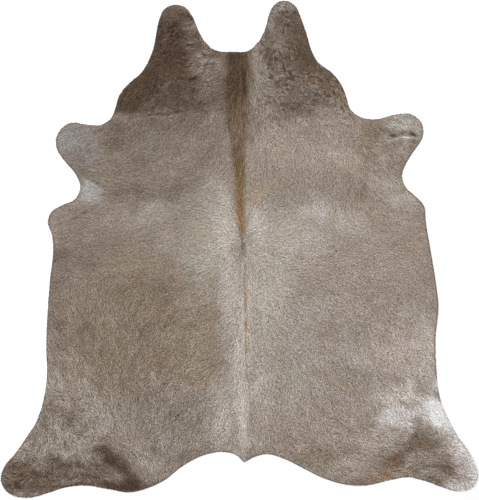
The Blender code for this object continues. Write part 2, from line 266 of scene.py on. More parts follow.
LEFT_FLANK_ZONES = (
    Zone("left_belly_brown", -805, -240, 95, 380, 0, "dun", 0.9, 0.8),
    Zone("left_loin_tan", -185, -370, 210, 250, 0, "khaki", 0.9, 0.95),
    Zone("left_back_pale", -120, 30, 190, 355, -12, "sage", 0.95, 0.9),
    Zone("left_back_middle", -270, 20, 140, 110, 0, "dark_sage", 0.7, 0.9),
    Zone("left_back_patch", -380, 155, 175, 90, 5, "dark_sage", 0.9, 0.9),
    Zone("left_back_straw", -440, -70, 220, 85, 5, "khaki", 0.85, 0.9),
    Zone("left_flank_streaked", -690, 145, 185, 60, 12, "taupe", 0.75, 0.9),
    Zone("left_flank_bump", -810, 115, 70, 55, 0, "mushroom", 0.8, 0.8),
    Zone("left_belly_dark", -790, -30, 70, 50, 60, "hazel", 0.8, 0.9),
    Zone("left_flank_spot", -655, -60, 60, 45, 30, "mouse", 0.7, 0.9),
    Zone("left_back_olive", -210, -110, 70, 40, 50, "mushroom", 0.8, 0.9),
    Zone("left_belly_low", -695, -350, 75, 45, 40, "walnut", 0.7, 0.9),
    Zone("left_belly_edge", -800, -335, 50, 45, 0, "hazel", 0.7, 0.9),
    Zone("left_side_dark", -420, -375, 90, 75, 0, "mouse", 0.7, 0.9),
    Zone("left_loin_spot", -235, -335, 65, 45, 20, "drab", 0.8, 0.9),
    Zone("left_edge_pale", -830, -590, 60, 110, 0, "putty", 0.9, 0.9),
    Zone("left_loin_pale_tuft", -390, -565, 60, 35, -50, "putty", 0.7, 0.9),
    Zone("left_loin_dark_tuft", -470, -620, 100, 45, -25, "mouse", 0.7, 0.9),
    Zone("left_flank_edge", -830, 50, 45, 80, 0, "putty", 0.85, 0.9),
    Zone("left_belly_olive", -700, -385, 110, 85, 0, "cocoa", 0.3, 0.9),
    Zone("left_loin_low_tan", -230, -515, 110, 75, 0, "straw", 0.7, 0.9),
    Zone("left_belly_buff", -765, 22, 45, 45, 0, "dark_buff", 0.8, 0.9),
    Zone("left_belly_bay", -838, -350, 32, 45, 0, "bay", 0.75, 0.9),
    Zone("left_loin_sage", -245, -250, 55, 40, 0, "dark_sage", 0.6, 0.9),
    Zone("left_back_mouse", -475, 175, 45, 38, 0, "mouse", 0.55, 0.9),
    Zone("left_flank_mushroom", -520, -155, 50, 38, 0, "mushroom", 0.7, 0.9),
    Zone("left_flank_putty", -670, 42, 48, 42, 0, "putty", 0.6, 0.9),
)
RIGHT_FLANK_ZONES = (
    Zone("right_back_pale", 225, 40, 300, 220, -8, "string", 0.95, 0.9),
    Zone("right_back_lilac", 350, 180, 115, 75, 0, "lilac", 0.75, 0.9),
    Zone("right_back_brown", 625, 150, 200, 60, -25, "buff", 0.8, 0.9),
    Zone("right_edge_brown", 740, 40, 110, 150, 0, "buff", 0.8, 0.8),
    Zone("right_edge_pale", 825, -445, 95, 265, 0, "bone", 0.9, 0.8),
    Zone("right_flank_rose", 690, -445, 220, 175, 0, "rose", 0.85, 0.9),
    Zone("right_loin_grey", 380, -370, 120, 110, 0, "mushroom", 0.9, 0.9),
    Zone("right_loin_pale", 520, -480, 130, 80, -20, "string", 0.6, 0.9),
    Zone("right_side_brown", 590, -200, 150, 100, 0, "dark_buff", 0.6, 0.9),
    Zone("right_back_rose", 480, 110, 130, 90, -10, "string", 0.8, 0.9),
    Zone("right_back_dark", 715, 30, 90, 60, -20, "dark_buff", 0.6, 0.9),
    Zone("right_flank_dark", 645, -405, 75, 35, -55, "mushroom", 0.8, 0.9),
    Zone("right_flank_oat", 725, -290, 50, 50, 0, "oat", 0.75, 0.9),
    Zone("right_back_fawn", 510, 125, 55, 50, 0, "fawn", 0.65, 0.9),
    Zone("right_flank_low_fawn", 873, -197, 42, 45, 0, "fawn", 0.7, 0.9),
    Zone("right_loin_oat", 408, -160, 50, 42, 0, "oat", 0.55, 0.9),
    Zone("right_loin_mushroom", 324, -321, 48, 42, 0, "mushroom", 0.6, 0.9),
)
BESIDE_SPINE_ZONES = (
    Zone("spine_pale_high", -90, 210, 65, 180, 0, "bone", 0.8, 0.9),
    Zone("spine_pale_left", -50, -180, 60, 355, 0, "bone", 0.9, 0.9),
    Zone("spine_pale_right", 100, -190, 150, 370, 0, "sage", 0.95, 0.9),
    Zone("spine_pale_middle", 15, -315, 70, 355, 0, "bone", 0.9, 0.9),
    Zone("spine_pale_side", 75, 110, 75, 160, 0, "ivory", 0.95, 0.9),
    Zone("spine_pale_low", 90, -600, 110, 270, 0, "oat", 0.9, 0.9),
    Zone("spine_rump_left", -75, -735, 105, 250, 0, "string", 0.9, 0.9),
    Zone("spine_rump_right", 100, -850, 70, 110, 0, "putty", 0.8, 0.9),
    Zone("right_loin_light", 190, -165, 80, 105, 0, "bone", 0.5, 0.9),
    Zone("spine_pale_whorl", -52, 75, 65, 115, 0, "ivory", 0.7, 0.9),
    Zone("tail_pale", 30, -850, 100, 45, 75, "string", 0.8, 0.9),
    Zone("ridge_left_pale", -20, -565, 185, 36, 97, "bone", 0.8, 0.9),
    Zone("stripe_right_shade", 42, 500, 55, 32, 120, "walnut", 0.7, 0.9),
    Zone("tail_pearl", 5, -930, 40, 48, 0, "pearl", 0.9, 0.9),
    Zone("right_loin_buff", 255, -55, 60, 60, 0, "buff", 0.75, 0.9),
    Zone("left_whorl_bone", -25, -55, 30, 50, 0, "bone", 0.7, 0.9),
    Zone("left_loin_fawn", -87, -370, 30, 60, 0, "fawn", 0.7, 0.9),
    Zone("stripe_right_warm", 51, 228, 60, 13, 88, "tan", 0.55, 0.9),
)
LEFT_FORELEG_ZONES = (
    Zone("left_shoulder_low", -300, 370, 170, 80, 10, "mushroom", 0.8, 0.9),
    Zone("left_shoulder_high", -330, 550, 310, 65, 6, "hazel", 0.9, 0.8),
    Zone("left_withers_dark", -360, 255, 230, 65, 10, "mouse", 0.9, 0.9),
    Zone("left_armpit_dark", -530, 240, 115, 80, -20, "mouse", 0.8, 0.9),
    Zone("left_foreleg", -715, 440, 140, 175, 20, "dove", 0.95, 0.7),
    Zone("left_foreleg_tip", -760, 485, 70, 80, 0, "ash", 0.9, 0.8),
    Zone("left_foreleg_edge", -690, 340, 135, 45, -50, "mouse", 0.9, 0.8),
    Zone("left_foreleg_root", -565, 520, 105, 80, 0, "walnut", 0.6, 0.9),
    Zone("left_armpit_pale", -665, 255, 85, 65, -20, "pearl", 1.0, 0.7),
    Zone("left_foreleg_shade", -540, 470, 95, 50, 30, "hazel", 0.8, 0.9),
    Zone("left_shoulder_pale", -215, 450, 90, 70, 0, "mushroom", 0.7, 0.9),
    Zone("left_withers_spot", -450, 255, 60, 45, 0, "hazel", 0.8, 0.9),
    Zone("left_shoulder_middle", -350, 455, 180, 90, 0, "taupe", 0.6, 0.9),
    Zone("left_withers_grey", -115, 235, 45, 70, 0, "putty", 0.85, 0.9),
    Zone("left_armpit_putty", -835, 85, 35, 60, 0, "putty", 0.85, 0.9),
    Zone("left_armpit_ash", -705, 305, 35, 35, 0, "ash", 0.7, 0.9),
)
LEFT_NECK_ZONES = (
    Zone("left_neck", -340, 860, 185, 265, -14, "sepia", 1.0, 0.45),
    Zone("left_neck_low", -240, 695, 290, 115, 6, "umber", 1.0, 0.55),
    Zone("left_neck_olive", -485, 680, 150, 90, 35, "olive", 1.0, 0.45),
    Zone("left_neck_edge", -375, 880, 250, 60, 80, "sepia", 0.9, 0.8),
    Zone("left_neck_pale", -140, 760, 90, 160, 0, "mouse", 0.85, 0.8),
    Zone("left_neck_fold_pale", -200, 910, 75, 90, 0, "walnut", 0.85, 0.9),
    Zone("left_flap_tip", -295, 1055, 95, 45, 0, "umber", 0.8, 0.8),
    Zone("left_neck_notch", -120, 875, 60, 40, -20, "umber", 0.8, 0.8),
    Zone("left_neck_root", -190, 625, 195, 55, 6, "walnut", 0.9, 0.9),
    Zone("left_flap_spot", -190, 955, 40, 28, -20, "umber", 0.8, 0.9),
    Zone("left_flap_streaks", -225, 980, 45, 28, 15, "hazel", 0.7, 0.9),
    Zone("left_neck_corner_dark", -420, 615, 120, 45, 8, "sepia", 0.8, 0.9),
    Zone("left_flap_side", -228, 1035, 55, 38, -55, "umber", 0.95, 0.9),
    Zone("left_neck_inner_hazel", -185, 815, 45, 40, 0, "hazel", 0.75, 0.9),
    Zone("left_neck_low_hazel", -225, 685, 50, 35, 0, "hazel", 0.6, 0.9),
    Zone("left_nape_mouse", -88, 742, 28, 45, 0, "mouse", 0.6, 0.9),
    Zone("left_neck_walnut", -211, 742, 42, 38, 0, "walnut", 0.55, 0.9),
)
RIGHT_FORELEG_ZONES = (
    Zone("right_withers_tan", 80, 230, 75, 95, 0, "tan", 0.7, 0.95),
    Zone("right_shoulder_pale", 450, 400, 195, 75, -12, "pale_buff", 0.8, 0.9),
    Zone("right_shoulder_low", 330, 295, 220, 50, -4, "dark_buff", 0.75, 0.9),
    Zone("right_shoulder_high", 270, 545, 220, 60, 0, "dark_buff", 0.85, 0.9),
    Zone("right_foreleg", 705, 415, 125, 160, 0, "mushroom", 0.95, 0.7),
    Zone("right_foreleg_tip", 725, 565, 115, 55, -12, "oat", 1.0, 0.6),
    Zone("right_foreleg_root", 585, 510, 85, 90, 0, "drab", 0.85, 0.8),
    Zone("right_armpit", 670, 295, 95, 70, 0, "oat", 0.8, 0.9),
    Zone("right_armpit_dark", 555, 245, 65, 60, 0, "drab", 0.8, 0.9),
    Zone("right_foreleg_olive", 575, 410, 60, 70, 0, "drab", 0.8, 0.9),
    Zone("right_shoulder_edge", 730, 210, 110, 50, -10, "string", 0.8, 0.9),
    Zone("right_fore_pearl", 810, 510, 45, 40, 0, "pearl", 0.9, 0.9),
    Zone("right_fore_fawn", 700, 565, 40, 40, 0, "fawn", 0.7, 0.9),
    Zone("right_fore_flap", 738, 560, 78, 24, 2, "pearl", 0.6, 0.5),
    Zone("right_fore_notch_1", 690, 506, 17, 9, -25, "bark", 0.8, 0.5),
    Zone("right_fore_notch_2", 733, 508, 13, 10, 35, "bark", 0.8, 0.5),
    Zone("right_fore_notch_3", 768, 505, 17, 9, -20, "bark", 0.85, 0.5),
    Zone("right_fore_notch_4", 640, 520, 22, 7, -35, "umber", 0.7, 0.5),
    Zone("right_fore_cream", 722, 488, 82, 5, 2, "ivory", 0.8, 0.5),
    Zone("right_fore_flap_root", 700, 564, 40, 24, 0, "ash", 0.6, 0.7),
    Zone("right_withers_oat", 330, 240, 50, 42, 0, "oat", 0.6, 0.9),
)
RIGHT_RUMP_ZONES = (
    Zone("right_rump_green", 245, -600, 150, 160, 0, "dark_sage", 0.8, 0.9),
    Zone("right_rump_brown", 350, -915, 180, 85, 8, "drab", 0.7, 0.9),
    Zone("right_rump_low", 225, -845, 135, 80, 0, "dark_buff", 0.7, 0.9),
    Zone("right_rump_rose", 625, -855, 140, 90, 10, "rose", 0.9, 0.9),
    Zone("right_hind", 800, -915, 265, 185, -20, "mushroom", 0.9, 0.6),
    Zone("right_thigh_pale", 715, -655, 210, 100, 0, "ivory", 0.85, 0.8),
    Zone("right_hind_white", 900, -745, 130, 68, -42, "white", 1.0, 0.6),
    Zone("right_hind_white_inner", 695, -755, 130, 62, -4, "chalk", 0.85, 0.9),
    Zone("right_thigh_dark", 800, -625, 60, 45, 0, "putty", 0.8, 0.9),
    Zone("right_thigh_notch", 896, -662, 18, 24, 0, "ash", 0.9, 0.9),
    Zone("right_flank_low_edge", 868, -600, 32, 65, 0, "ivory", 0.85, 0.9),
    Zone("right_hind_gap_grey", 765, -768, 42, 20, -40, "putty", 0.7, 0.9),
    Zone("right_hind_white_bridge", 800, -735, 85, 42, -20, "chalk", 0.9, 0.9),
    Zone("right_rump_root", 570, -975, 50, 45, 0, "dark_buff", 0.7, 0.9),
    Zone("right_rump_light", 480, -960, 150, 65, 12, "pale_buff", 0.85, 0.9),
    Zone("right_flank_tuft", 740, -565, 80, 45, 75, "ivory", 0.8, 0.9),
    Zone("right_hind_top_pale", 885, -618, 60, 45, 0, "chalk", 0.85, 0.9),
    Zone("right_hind_white_low", 832, -682, 30, 30, 0, "ivory", 0.55, 0.9),
    Zone("right_rump_dark_buff", 620, -893, 42, 34, 0, "pale_buff", 0.75, 0.9),
    Zone("tail_khaki", 110, -890, 50, 40, 0, "khaki", 0.6, 0.9),
    Zone("right_flank_low_oat", 600, -588, 60, 42, 0, "oat", 0.55, 0.9),
)
RIGHT_HIND_SHANK_ZONES = (
    Zone("right_hind_dark", 812, -862, 110, 52, -5, "hazel", 1.0, 0.8),
    Zone("right_hind_dark_inner", 685, -935, 105, 45, 42, "russet", 0.95, 0.8),
    Zone("right_hind_dark_outer", 915, -968, 100, 45, -30, "hazel", 0.95, 0.8),
    Zone("right_hind_rim", 1005, -895, 215, 85, -58, "chalk", 1.0, 0.7),
    Zone("right_hind_tip", 985, -1050, 110, 42, 8, "chalk", 0.9, 0.7),
    Zone("right_hind_red", 655, -998, 60, 34, 18, "cinnamon", 0.85, 0.9),
    Zone("right_hind_low_rim", 870, -1038, 75, 26, -18, "walnut", 0.9, 0.8),
    Zone("right_hind_streaked", 925, -850, 70, 30, -50, "pale_buff", 0.6, 0.9),
    Zone("right_hind_middle", 790, -960, 110, 40, 0, "mouse", 0.7, 0.9),
    Zone("right_hind_core", 760, -862, 65, 30, 52, "walnut", 0.8, 0.9),
    Zone("right_hind_edge", 1055, -995, 95, 32, -78, "white", 0.9, 0.9),
    Zone("right_hind_edge_low", 1000, -1060, 60, 22, 10, "chalk", 0.9, 0.9),
    Zone("right_hind_mid_pale", 930, -905, 45, 30, -40, "rose", 0.8, 0.9),
    Zone("right_hind_pale_tail", 655, -720, 60, 40, 0, "chalk", 0.6, 0.9),
    Zone("right_toe_rose", 950, -1010, 50, 30, 0, "cinnamon", 0.5, 0.9),
    Zone("right_rump_hem", 545, -1035, 80, 25, 3, "hazel", 0.8, 0.9),
    Zone("right_toe_white", 1045, -1000, 60, 70, 0, "chalk", 0.9, 0.9),
    Zone("right_hind_tip_buff", 950, -1035, 50, 35, 0, "buff", 0.7, 0.9),
    Zone("right_shank_rose", 615, -815, 50, 45, 0, "rose", 0.8, 0.9),
    Zone("right_shank_brown", 745, -850, 40, 40, 0, "hazel", 0.8, 0.9),
    Zone("right_hind_hem_buff", 505, -1005, 60, 35, 0, "pale_buff", 0.8, 0.9),
    Zone("right_shank_oat", 670, -850, 30, 45, 0, "string", 0.6, 0.9),
    Zone("right_hind_bone", 825, -772, 30, 35, 0, "chalk", 0.45, 0.9),
    Zone("right_hind_tip_rose", 985, -950, 40, 50, 0, "rose", 0.8, 0.9),
    Zone("right_hind_tip_white", 1050, -1030, 40, 40, 0, "white", 0.5, 0.8),
    Zone("right_shank_bay", 690, -955, 55, 40, 0, "cinnamon", 0.5, 0.9),
    Zone("right_hind_brown", 765, -870, 90, 45, 35, "bay", 0.7, 0.9),
    Zone("right_shank_warm", 835, -880, 45, 40, 0, "cinnamon", 0.5, 0.9),
    Zone("right_shank_low_warm", 740, -987, 60, 30, 0, "cinnamon", 0.5, 0.9),
    Zone("right_shank_drab", 895, -1000, 45, 32, 0, "drab", 0.7, 0.9),
    Zone("right_shank_bay_high", 880, -945, 42, 35, 0, "bay", 0.6, 0.9),
    Zone("right_hem_cinnamon", 590, -1015, 95, 28, 6, "cinnamon", 0.6, 0.9),
    Zone("right_hind_tip_bone", 1000, -1000, 50, 38, 0, "pale_buff", 0.9, 0.9),
    Zone("right_hind_tip_hem", 930, -1048, 50, 25, 0, "pale_buff", 0.8, 0.9),
    Zone("right_hind_tip_string", 985, -1045, 30, 22, 0, "string", 0.7, 0.9),
    Zone("right_hind_saddle", 800, -749, 48, 28, 0, "string", 0.8, 0.8),
    Zone("right_hind_rose", 745, -760, 38, 30, 0, "rose", 0.6, 0.8),
    Zone("right_hind_white_rim", 912, -720, 42, 38, 0, "white", 0.6, 0.8),
    Zone("right_hem_tan", 581, -1040, 60, 20, 0, "tan", 0.6, 0.8),
    Zone("right_shank_buff", 915, -910, 35, 30, 0, "pale_buff", 0.7, 0.9),
    Zone("right_heel_white", 965, -830, 38, 30, 0, "white", 0.3, 0.9),
    Zone("right_shank_top_rose", 678, -804, 38, 32, 0, "rose", 0.6, 0.9),
)
RIGHT_NECK_ZONES = (
    Zone("right_neck_step", 470, 600, 95, 60, -40, "mushroom", 0.8, 0.9),
    Zone("right_neck", 235, 860, 185, 290, 12, "walnut", 1.0, 0.45),
    Zone("right_neck_low", 290, 670, 250, 105, -8, "hazel", 1.0, 0.6),
    Zone("right_neck_edge", 288, 930, 215, 56, -72, "umber", 0.95, 0.8),
    Zone("right_neck_upper", 170, 925, 75, 100, 0, "mouse", 0.8, 0.9),
    Zone("right_neck_brown", 385, 740, 135, 70, -40, "walnut", 1.0, 0.7),
    Zone("right_neck_corner", 440, 645, 75, 55, -50, "drab", 0.9, 0.8),
    Zone("right_neck_russet", 375, 735, 120, 60, -28, "russet", 0.85, 0.9),
    Zone("right_neck_pale", 88, 735, 42, 135, 0, "taupe", 0.9, 0.9),
    Zone("right_flap_tip", 190, 1080, 95, 42, 0, "dove", 1.0, 0.7),
    Zone("right_neck_spot", 225, 630, 80, 40, 10, "walnut", 0.9, 0.9),
    Zone("stripe_surround", -5, 580, 150, 110, 0, "walnut", 0.6, 0.9),
    Zone("right_flap_pale", 150, 985, 80, 45, 72, "mouse", 0.8, 0.9),
    Zone("right_neck_hem", 395, 610, 90, 40, -8, "mushroom", 0.85, 0.9),
    Zone("right_neck_fold_pale", 170, 770, 55, 50, 0, "mouse", 0.8, 0.9),
    Zone("right_flap_left", 142, 1005, 75, 32, 80, "dove", 0.8, 0.9),
    Zone("right_flap_dark", 235, 1035, 45, 24, -10, "umber", 0.8, 0.9),
    Zone("right_neck_olive", 285, 850, 85, 55, -60, "olive", 0.7, 0.9),
    Zone("right_neck_red", 415, 762, 30, 22, -50, "russet", 0.4, 0.9),
    Zone("right_neck_middle", 165, 690, 60, 55, 0, "mouse", 0.7, 0.9),
    Zone("right_neck_low_red", 250, 655, 60, 24, 20, "walnut", 0.7, 0.9),
    Zone("nape_right", 82, 870, 42, 65, 0, "mouse", 1.0, 0.9),
    Zone("right_flap_middle", 190, 990, 42, 60, 0, "hazel", 0.8, 0.9),
    Zone("right_shoulder_seam", 190, 590, 110, 38, 0, "hazel", 0.8, 0.9),
    Zone("right_neck_rim_brown", 395, 785, 45, 40, 0, "umber", 0.8, 0.9),
    Zone("withers_drab", 88, 612, 40, 60, 0, "drab", 1.0, 0.9),
    Zone("nape_right_top", 80, 910, 35, 35, 0, "mouse", 0.8, 0.9),
    Zone("right_ear_top", 190, 1090, 50, 25, 0, "mouse", 0.8, 0.9),
    Zone("right_neck_side_brown", 420, 765, 40, 35, 0, "umber", 0.75, 0.9),
    Zone("right_nape_mouse", 164, 799, 40, 34, 0, "mouse", 0.6, 0.9),
)
ZONES = (
    BROAD_ZONES
    + LEFT_RUMP_ZONES
    + LEFT_HIND_SHANK_ZONES
    + LEFT_FLANK_ZONES
    + RIGHT_FLANK_ZONES
    + BESIDE_SPINE_ZONES
    + LEFT_FORELEG_ZONES
    + LEFT_NECK_ZONES
    + RIGHT_FORELEG_ZONES
    + RIGHT_RUMP_ZONES
    + RIGHT_HIND_SHANK_ZONES
    + RIGHT_NECK_ZONES
)

# Dark stripe down the spine, from the nape to the back, and what lies over it. Its border
# fades out from the edge, in half widths, over the softness, and wanders little.
STRIPE_EDGE = 1.42
STRIPE_SOFTNESS = 1.05
STRIPE_WANDER = 0.1
SPINE_STRIPE = (
    Band(900, -10, 64, "bark", 1.0),
    Band(795, -8, 66, "bark", 1.0),
    Band(705, -10, 62, "bark", 1.0),
    Band(605, -10, 51, "cocoa", 1.0),
    Band(525, -8, 42, "bay", 0.95),
    Band(440, -6, 35, "cocoa", 0.95),
    Band(350, -1, 29, "moss", 1.0),
    Band(260, 1, 25, "ginger", 1.0),
    Band(150, 3, 22, "amber", 1.0),
    Band(90, 8, 18, "amber", 1.0),
    Band(60, 11, 17, "khaki", 0.9),
    Band(10, 14, 17, "putty", 0.9),
    Band(-60, 18, 12, "fawn", 0.8),
    Band(-120, 23, 10, "tan", 0.0),
)
SPINE_MARKS = (
    Zone("stripe_left_dark", -50, 680, 160, 18, 88, "sepia", 0.55, 0.9),
    Zone("stripe_right_dark", 23, 730, 95, 20, 90, "bistre", 0.7, 0.8),
    Zone("stripe_bulge", 45, 765, 75, 24, 90, "cocoa", 0.75, 0.9),
    Zone("stripe_left_thin", -43, 550, 60, 10, 90, "sepia", 0.7, 0.8),
    Zone("stripe_ginger", 2, 190, 110, 12, 90, "ginger", 0.6, 0.9),
    Zone("whorl_spot", 16, 8, 28, 16, 90, "walnut", 0.8, 0.9),
    Zone("whorl_rose", 41, -20, 25, 13, 80, "tan", 0.6, 0.8),
    Zone("ridge_wide", 10, -640, 300, 55, 90, "bone", 0.8, 0.9),
    Zone("ridge_pale_left", -10, -455, 105, 24, 90, "ivory", 0.7, 0.9),
    Zone("ridge_pale_right", 74, -605, 80, 24, 60, "bone", 0.7, 0.9),
    Zone("ridge_pale", 16, -720, 230, 36, 90, "ivory", 0.8, 0.9),
    Zone("golden_line", 26, -300, 280, 8, 91, "straw", 0.5, 0.8),
    Zone("golden_upper", 25, -110, 40, 9, 90, "tan", 0.8, 0.7),
    Zone("golden_middle", 26, -225, 75, 9, 90, "gold", 0.8, 0.7),
    Zone("golden_low", 31, -335, 35, 8, 90, "gold", 0.85, 0.7),
    Zone("golden_lower", 30, -445, 45, 10, 90, "gold", 0.8, 0.7),
    Zone("golden_end", 34, -565, 50, 8, 95, "straw", 0.7, 0.8),
    Zone("ridge_dim", 14, -500, 18, 50, 0, "oat", 0.7, 0.9),
    Zone("withers_dim", 95, 607, 30, 45, 0, "mouse", 0.7, 0.9),
    Zone("whorl_dim", 18, -22, 18, 22, 0, "drab", 0.6, 0.9),
    Zone("tail_chalk", -17, -908, 26, 32, 0, "chalk", 0.55, 0.9),
)

# Where the coat is combed to: heading in degrees, 0 to the right, 90 to the neck
LEFT_NECK_COMBS = (
    Comb(-330, 990, 190, 120),
    Comb(-220, 840, 185, 110),
    Comb(-400, 815, 230, 110),
    Comb(-460, 660, 225, 110),
    Comb(-305, 680, 205, 110),
    Comb(-150, 640, 215, 90),
)
SPINE_COMBS = (
    Comb(-10, 800, 270, 70),
    Comb(-10, 530, 270, 80),
    Comb(-5, 260, 268, 70),
    Comb(10, 0, 270, 50),
    Comb(22, -360, 270, 50),
    Comb(20, -760, 270, 60),
)
LEFT_COMBS = (
    Comb(-80, 480, 235, 90),
    Comb(-260, 480, 240, 120),
    Comb(-500, 480, 225, 130),
    Comb(-700, 350, 155, 110),
    Comb(-760, 490, 195, 110),
    Comb(-330, 330, 190, 150),
    Comb(-700, 150, 195, 130),
    Comb(-400, 130, 180, 160),
    Comb(-170, 60, 180, 120),
    Comb(-160, -120, 190, 130),
    Comb(-420, -60, 182, 130),
    Comb(-760, -30, 165, 110),
    Comb(-720, -320, 315, 140),
    Comb(-480, -320, 265, 110),
    Comb(-330, -260, 215, 120),
    Comb(-150, -330, 205, 110),
    Comb(-250, -540, 235, 130),
    Comb(-110, -700, 222, 110),
    Comb(-480, -580, 262, 130),
    Comb(-780, -580, 300, 130),
    Comb(-700, -800, 330, 150),
    Comb(-860, -980, 180, 140),
    Comb(-540, -930, 325, 110),
    Comb(-330, -800, 240, 120),
)
RIGHT_COMBS = (
    Comb(110, 500, 300, 90),
    Comb(200, 400, 272, 130),
    Comb(340, 210, 248, 110),
    Comb(480, 560, 305, 110),
    Comb(700, 530, 342, 130),
    Comb(650, 330, 310, 110),
    Comb(480, 330, 272, 120),
    Comb(760, 210, 320, 100),
    Comb(110, 30, 5, 90),
    Comb(280, 60, 8, 120),
    Comb(420, -60, 0, 140),
    Comb(720, -40, 352, 130),
    Comb(840, -180, 295, 110),
    Comb(700, -190, 345, 110),
    Comb(120, -190, 320, 90),
    Comb(280, -280, 320, 130),
    Comb(520, -400, 290, 130),
    Comb(720, -420, 312, 130),
    Comb(850, -480, 312, 110),
    Comb(220, -520, 318, 120),
    Comb(110, -640, 288, 90),
    Comb(240, -800, 300, 120),
    Comb(300, -920, 335, 110),
    Comb(470, -980, 345, 120),
    Comb(640, -700, 300, 140),
    Comb(820, -730, 325, 110),
    Comb(720, -880, 0, 120),
    Comb(880, -980, 15, 120),
    Comb(990, -900, 320, 110),
)
RIGHT_NECK_COMBS = (
    Comb(200, 1020, 305, 110),
    Comb(250, 900, 315, 100),
    Comb(120, 820, 290, 80),
    Comb(310, 760, 5, 100),
    Comb(400, 650, 320, 100),
    Comb(200, 640, 325, 90),
)
COMBS = (
    LEFT_NECK_COMBS
    + SPINE_COMBS
    + LEFT_COMBS
    + RIGHT_COMBS
    + RIGHT_NECK_COMBS
)
# Far from all of them a comb still pulls this much, so that the hair lies somewhere.
FAR_PULL = 1e-3
# Spread in degrees of single locks about the lie of the hair
COMB_SCATTER = 16.0
# The hair parts all round from this place on the back; its pull is that of so many combs.
WHORL = Comb(12, 13, 0, 150)
WHORL_PULL = 3.0

# Unevenness of the coat. After the place and reach come seven shares of its brightness, the
# curl in degrees and the share of a lock's usual length. The body's row holds between the
# others, with this weight against theirs.
BODY_TEXTURE = Texture("body", 0, 0, 0, 0.43, 0.05, 0.02, 0.03, 0.0, 0.0, 0.0, 8, 1.0)
BODY_WEIGHT = 0.35
TEXTURES = (
    Texture("left_neck", -290, 840, 230, 0.42, 0.13, 0.03, 0.05, 0.15, 0.20, 0.68, 30, 0.7),
    Texture("right_neck", 215, 830, 250, 0.44, 0.13, 0.03, 0.04, 0.20, 0.24, 1.0, 40, 0.65),
    Texture("right_neck_low", 320, 640, 150, 0.46, 0.11, 0.03, 0.04, 0.20, 0.24, 0.60, 35, 0.7),
    Texture("left_shoulder", -330, 450, 180, 0.40, 0.07, 0.02, 0.05, 0.06, 0.0, 0.05, 16, 1.0),
    Texture("right_shoulder", 240, 470, 170, 0.44, 0.05, 0.02, 0.03, 0.04, 0.0, 0.03, 14, 1.0),
    Texture("left_foreleg", -720, 430, 150, 0.36, 0.09, 0.07, 0.05, 0.10, 0.1, 0.05, 18, 1.0),
    Texture("left_armpit", -650, 200, 110, 0.31, 0.09, 0.06, 0.04, 0.04, 0.04, 0.02, 12, 1.0),
    Texture("right_foreleg", 700, 470, 170, 0.36, 0.11, 0.06, 0.07, 0.22, 0.08, 0.12, 24, 0.9),
    Texture("left_back", -420, 0, 200, 0.36, 0.04, 0.02, 0.04, 0.0, 0.0, 0.0, 9, 1.0),
    Texture("left_loin", -500, -420, 260, 0.60, 0.06, 0.03, 0.06, 0.09, 0.09, 0.08, 20, 0.95),
    Texture("left_rump", -350, -760, 230, 0.70, 0.08, 0.04, 0.07, 0.18, 0.18, 0.11, 28, 0.85),
    Texture("left_thigh", -780, -760, 160, 0.68, 0.11, 0.07, 0.08, 0.16, 0.18, 0.07, 36, 0.85),
    Texture("left_hind_shank", -850, -1000, 190, 0.80, 0.20, 0.15, 0.11, 0.32, 0.38, 0.10, 42, 0.85),
    Texture("right_loin", 420, -360, 280, 0.58, 0.04, 0.02, 0.04, 0.07, 0.03, 0.06, 14, 0.95),
    Texture("right_rump", 380, -800, 230, 0.62, 0.08, 0.03, 0.05, 0.08, 0.06, 0.04, 24, 0.9),
    Texture("right_thigh", 800, -720, 150, 0.54, 0.10, 0.07, 0.07, 0.12, 0.12, 0.06, 24, 0.9),
    Texture("right_hind_shank", 850, -950, 180, 0.64, 0.14, 0.10, 0.09, 0.22, 0.24, 0.07, 32, 0.85),
    Texture("spine_low", 20, -500, 150, 0.52, 0.02, 0.04, 0.03, 0.0, 0.0, 0.0, 6, 1.0),
)
# The stripe's hair is fine and straight: over a little more than its width it is calmer than
# beside it by this share, and it is more stranded.
STRIPE_CALM = 0.85
STRIPE_CALM_SPREAD = 1.5
STRIPE_STRANDS = 0.13
